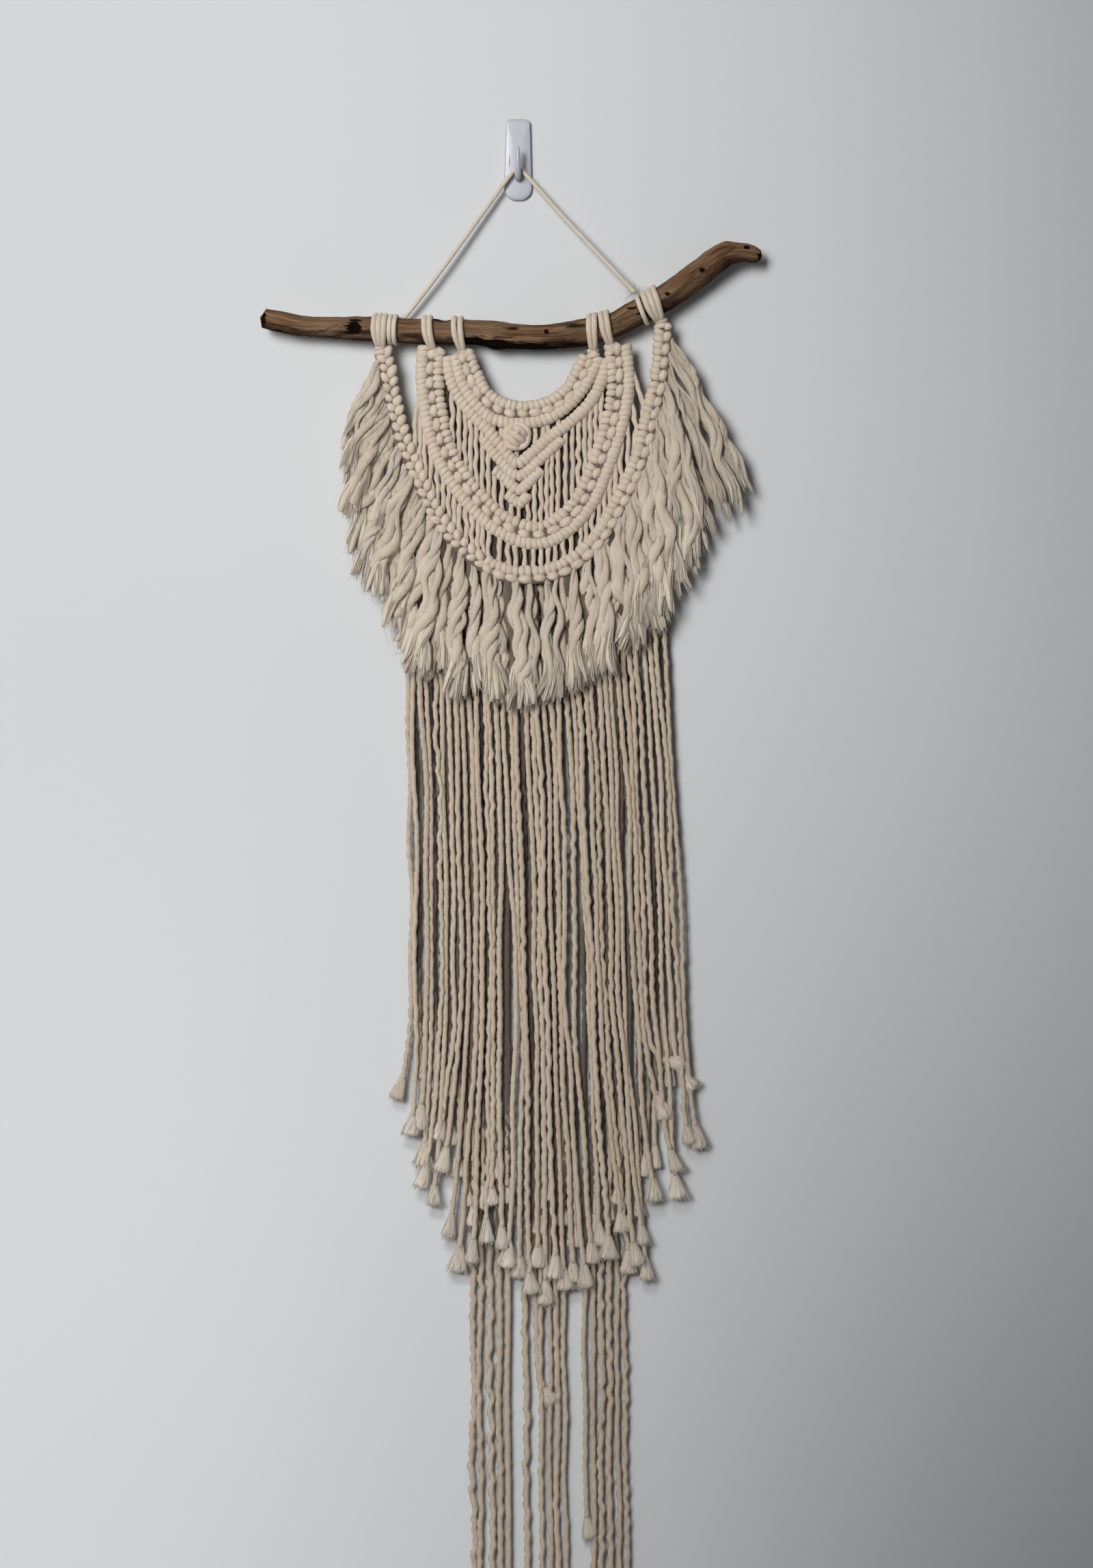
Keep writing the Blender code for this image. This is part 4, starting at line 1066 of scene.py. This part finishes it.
print("wall hook")
wallHook = {
    "top": 21.6, "bottom": 24.6, "height": 72.0,  # the plate's width at its top and bottom, its height
    "corners": (3.2, 10.6),  # radius of the upper and lower corners
    "arch": 1.2,  # how much lower the upper edge is at its corners
    # columns: share of the outline, y. The plate's domed front from the wall out
    "layers": ((1, 0), (1, -1.6), (0.985, -2.4), (0.94, -3.0), (0.85, -3.35), (0.6, -3.6), (0.3, -3.72),
               (0.04, -3.75)),
    # columns: y, z
    "prongRoute": ((-1.5, -15.5), (-5, -16), (-9, -16.2), (-13, -14.5), (-16.2, -10.5), (-17.8, -5),
                   (-18.5, 0), (-18.9, 5), (-19, 9)),
    # columns: share of its length, radius
    "prong": ((0, 3.24), (0.35, 3.0), (0.6, 2.52), (0.93, 1.728), (1, 0.96)),
    "slots": ((-7.4, 3.6, -7), (6.4, 4.4, -6)),  # columns: x, top, bottom
    "slotY": -3.6, "slotRadii": (0.2, 0.38, 0.42, 0.38, 0.2),
    # the slots' colour is painted shade
    "plastic": ((0.43, 0.445, 0.505, 1), (0.475, 0.485, 0.545, 1)), "slotShade": (0.25, 0.26, 0.30, 1),
}


def makeHookPlastic():
    made, tree, shader = newMaterial("hookPlastic")
    place = objectPlace(tree)
    soft = addNoise(tree, place, 60.0)
    colour = mixColour(tree, soft, *wallHook["plastic"])
    # painted shade in the two slots
    colour = mixColour(tree, remap(tree, readMask(tree, "toneAndShade"), 0.0, 0.4), wallHook["slotShade"], colour)
    addBump(tree, shader, addNoise(tree, place, 900.0), 0.15, 0.0002)
    fill(tree, shader, {"Base Color": colour, "Roughness": remap(tree, soft, 0.3, 0.7, 0.28, 0.4)})
    return made


def plateOutline():
    outline = []
    half = wallHook["height"] / 2
    top, bottom = wallHook["top"] / 2, wallHook["bottom"] / 2
    for x, z, start in ((top, half, 0), (-top, half, 90), (-bottom, -half, 180), (bottom, -half, 270)):
        corner = wallHook["corners"][0 if z > 0 else 1]
        middleX, middleZ = x - math.copysign(corner, x), z - math.copysign(corner, z)
        for angle in np.radians(range(start, start + 91, 6)):
            outline.append((middleX + corner * math.cos(angle), middleZ + corner * math.sin(angle)))
        if start == 0:
            outline += [(x * share, half) for share in (0.45, 0.15, -0.15, -0.45)]
    outline = np.array(outline) * mm
    high = outline[:, 1] > 0.6 * half * mm
    outline[high, 1] -= wallHook["arch"] * mm * (outline[high, 0] / (top * mm)) ** 2
    return outline


def makeHook():
    # the domed plate, closed at the back, with the bent prong and the two slots, painted dark as shade
    outline = plateOutline()
    reach = np.linalg.norm(outline, axis=1, keepdims=True)
    points = []
    for share, y in wallHook["layers"]:
        inward = (1 - share) * wallHook["top"] / 2 * mm
        ring = outline * (1 - inward / reach) if share > 0.5 else outline * share
        points += [(x, y * mm, z) for x, z in ring]
    points.append((0, 0, 0))
    count = len(outline)
    last = len(points) - 1 - count
    quads, fans = [], []
    for row in range(0, last, count):
        for j in range(count):
            k = (j + 1) % count
            quads += [row + j, row + k, row + count + k, row + count + j]
    for j in range(count):
        fans += [(j + 1) % count, j, len(points) - 1]
    for j in range(1, count - 1):
        fans += [last, last + j, last + j + 1]
    corners = np.array(quads + fans)
    sizes = np.array([4] * (len(quads) // 4) + [3] * (len(fans) // 3))
    store = newStore()
    addFaces(store, np.array(points), corners, sizes, np.zeros((len(corners), 2)), 0.5)
    route = [(0, y, z) for y, z in smoothLine(wallHook["prongRoute"], 0.001)]
    shares, radii = np.array(wallHook["prong"]).T
    sweep(store, route, np.interp(np.linspace(0, 1, len(route)), shares, radii) * mm, sides=20, back=(1, 0, 0))
    for x, top, bottom in wallHook["slots"]:
        groove = [(x * mm, wallHook["slotY"] * mm, z) for z in np.linspace(top, bottom, 5) * mm]
        sweep(store, groove, np.array(wallHook["slotRadii"]) * mm, sides=6, toneAndShade=0.0)
    finishPiece("adhesiveHook", store, makeHookPlastic(), ("wall_hook",))


makeHook()

print("room and light")
room = {
    "wall": (0.625, 0.635, 0.65, 1), "floor": (0.72, 0.70, 0.68, 1),
    "half": 3, "front": -4, "back": 0.0012, "floorZ": -1.75, "top": 1.6,  # metres
    "air": (0.94, 0.965, 1.0, 1), "airStrength": 0.085,
    # columns: place, what it is aimed at, size, power, spread, colour
    "lamps": {"windowLight": ((-1.35, -2.5, 0.53), (-0.45, 0, -0.02), 1.9, 11.9, 0.6, (1.0, 0.995, 0.98)),
              "lowWindowLight": ((-0.81, -1.84, 0.13), (-0.59, 0, -1.88), 1.3, 5.6, 0.53, (0.97, 0.99, 1.0))},
}


def makePaint(name, colour):
    # paint that only shows from inside the room, so the part can be looked at from behind
    made, tree, shader = newMaterial(name)
    addBump(tree, shader, addNoise(tree, objectPlace(tree), 240.0), 0.08, 0.0005)
    fill(tree, shader, {"Base Color": colour, "Roughness": 0.9})
    clear = addNode(tree, "ShaderNodeBsdfTransparent")
    facing = addNode(tree, "ShaderNodeNewGeometry").outputs["Backfacing"]
    both = feed(tree, "ShaderNodeMixShader", facing, shader.outputs[0], clear.outputs[0])
    fill(tree, tree.nodes["Material Output"], {0: both.outputs[0]})
    return made


def makeStage():
    half, front, back, floorZ, top = (room[name] for name in ("half", "front", "back", "floorZ", "top"))
    wall = [(-half, back, floorZ), (half, back, floorZ), (half, back, top), (-half, back, top)]
    floor = [(-half, front, floorZ), (half, front, floorZ), (half, back, floorZ), (-half, back, floorZ)]
    for name, colour, corners in (("wallPaint", room["wall"], wall), ("floorPaint", room["floor"], floor)):
        mesh = bpy.data.meshes.new(name)
        mesh.from_pydata(corners, [], [(0, 1, 2, 3)])
        mesh.materials.append(makePaint(name, colour))
        plane = bpy.data.objects.new(name, mesh)
        bpy.context.scene.collection.objects.link(plane)


def makeLight():
    for name, (place, target, size, power, spread, colour) in room["lamps"].items():
        data = bpy.data.lights.new(name, "AREA")
        data.size, data.energy, data.spread, data.color = size, power, spread, colour
        lamp = bpy.data.objects.new(name, data)
        lamp.location = place
        lamp.rotation_euler = (Vector(target) - Vector(place)).to_track_quat("-Z", "Y").to_euler()
        lamp.visible_camera = False
        bpy.context.scene.collection.objects.link(lamp)
    world = bpy.data.worlds.new("roomAir")
    bpy.context.scene.world = world
    world.use_nodes = True
    fill(world.node_tree, world.node_tree.nodes["Background"], {0: room["air"], 1: room["airStrength"]})
    bpy.context.scene.view_settings.view_transform = "Standard"


makeStage()
makeLight()
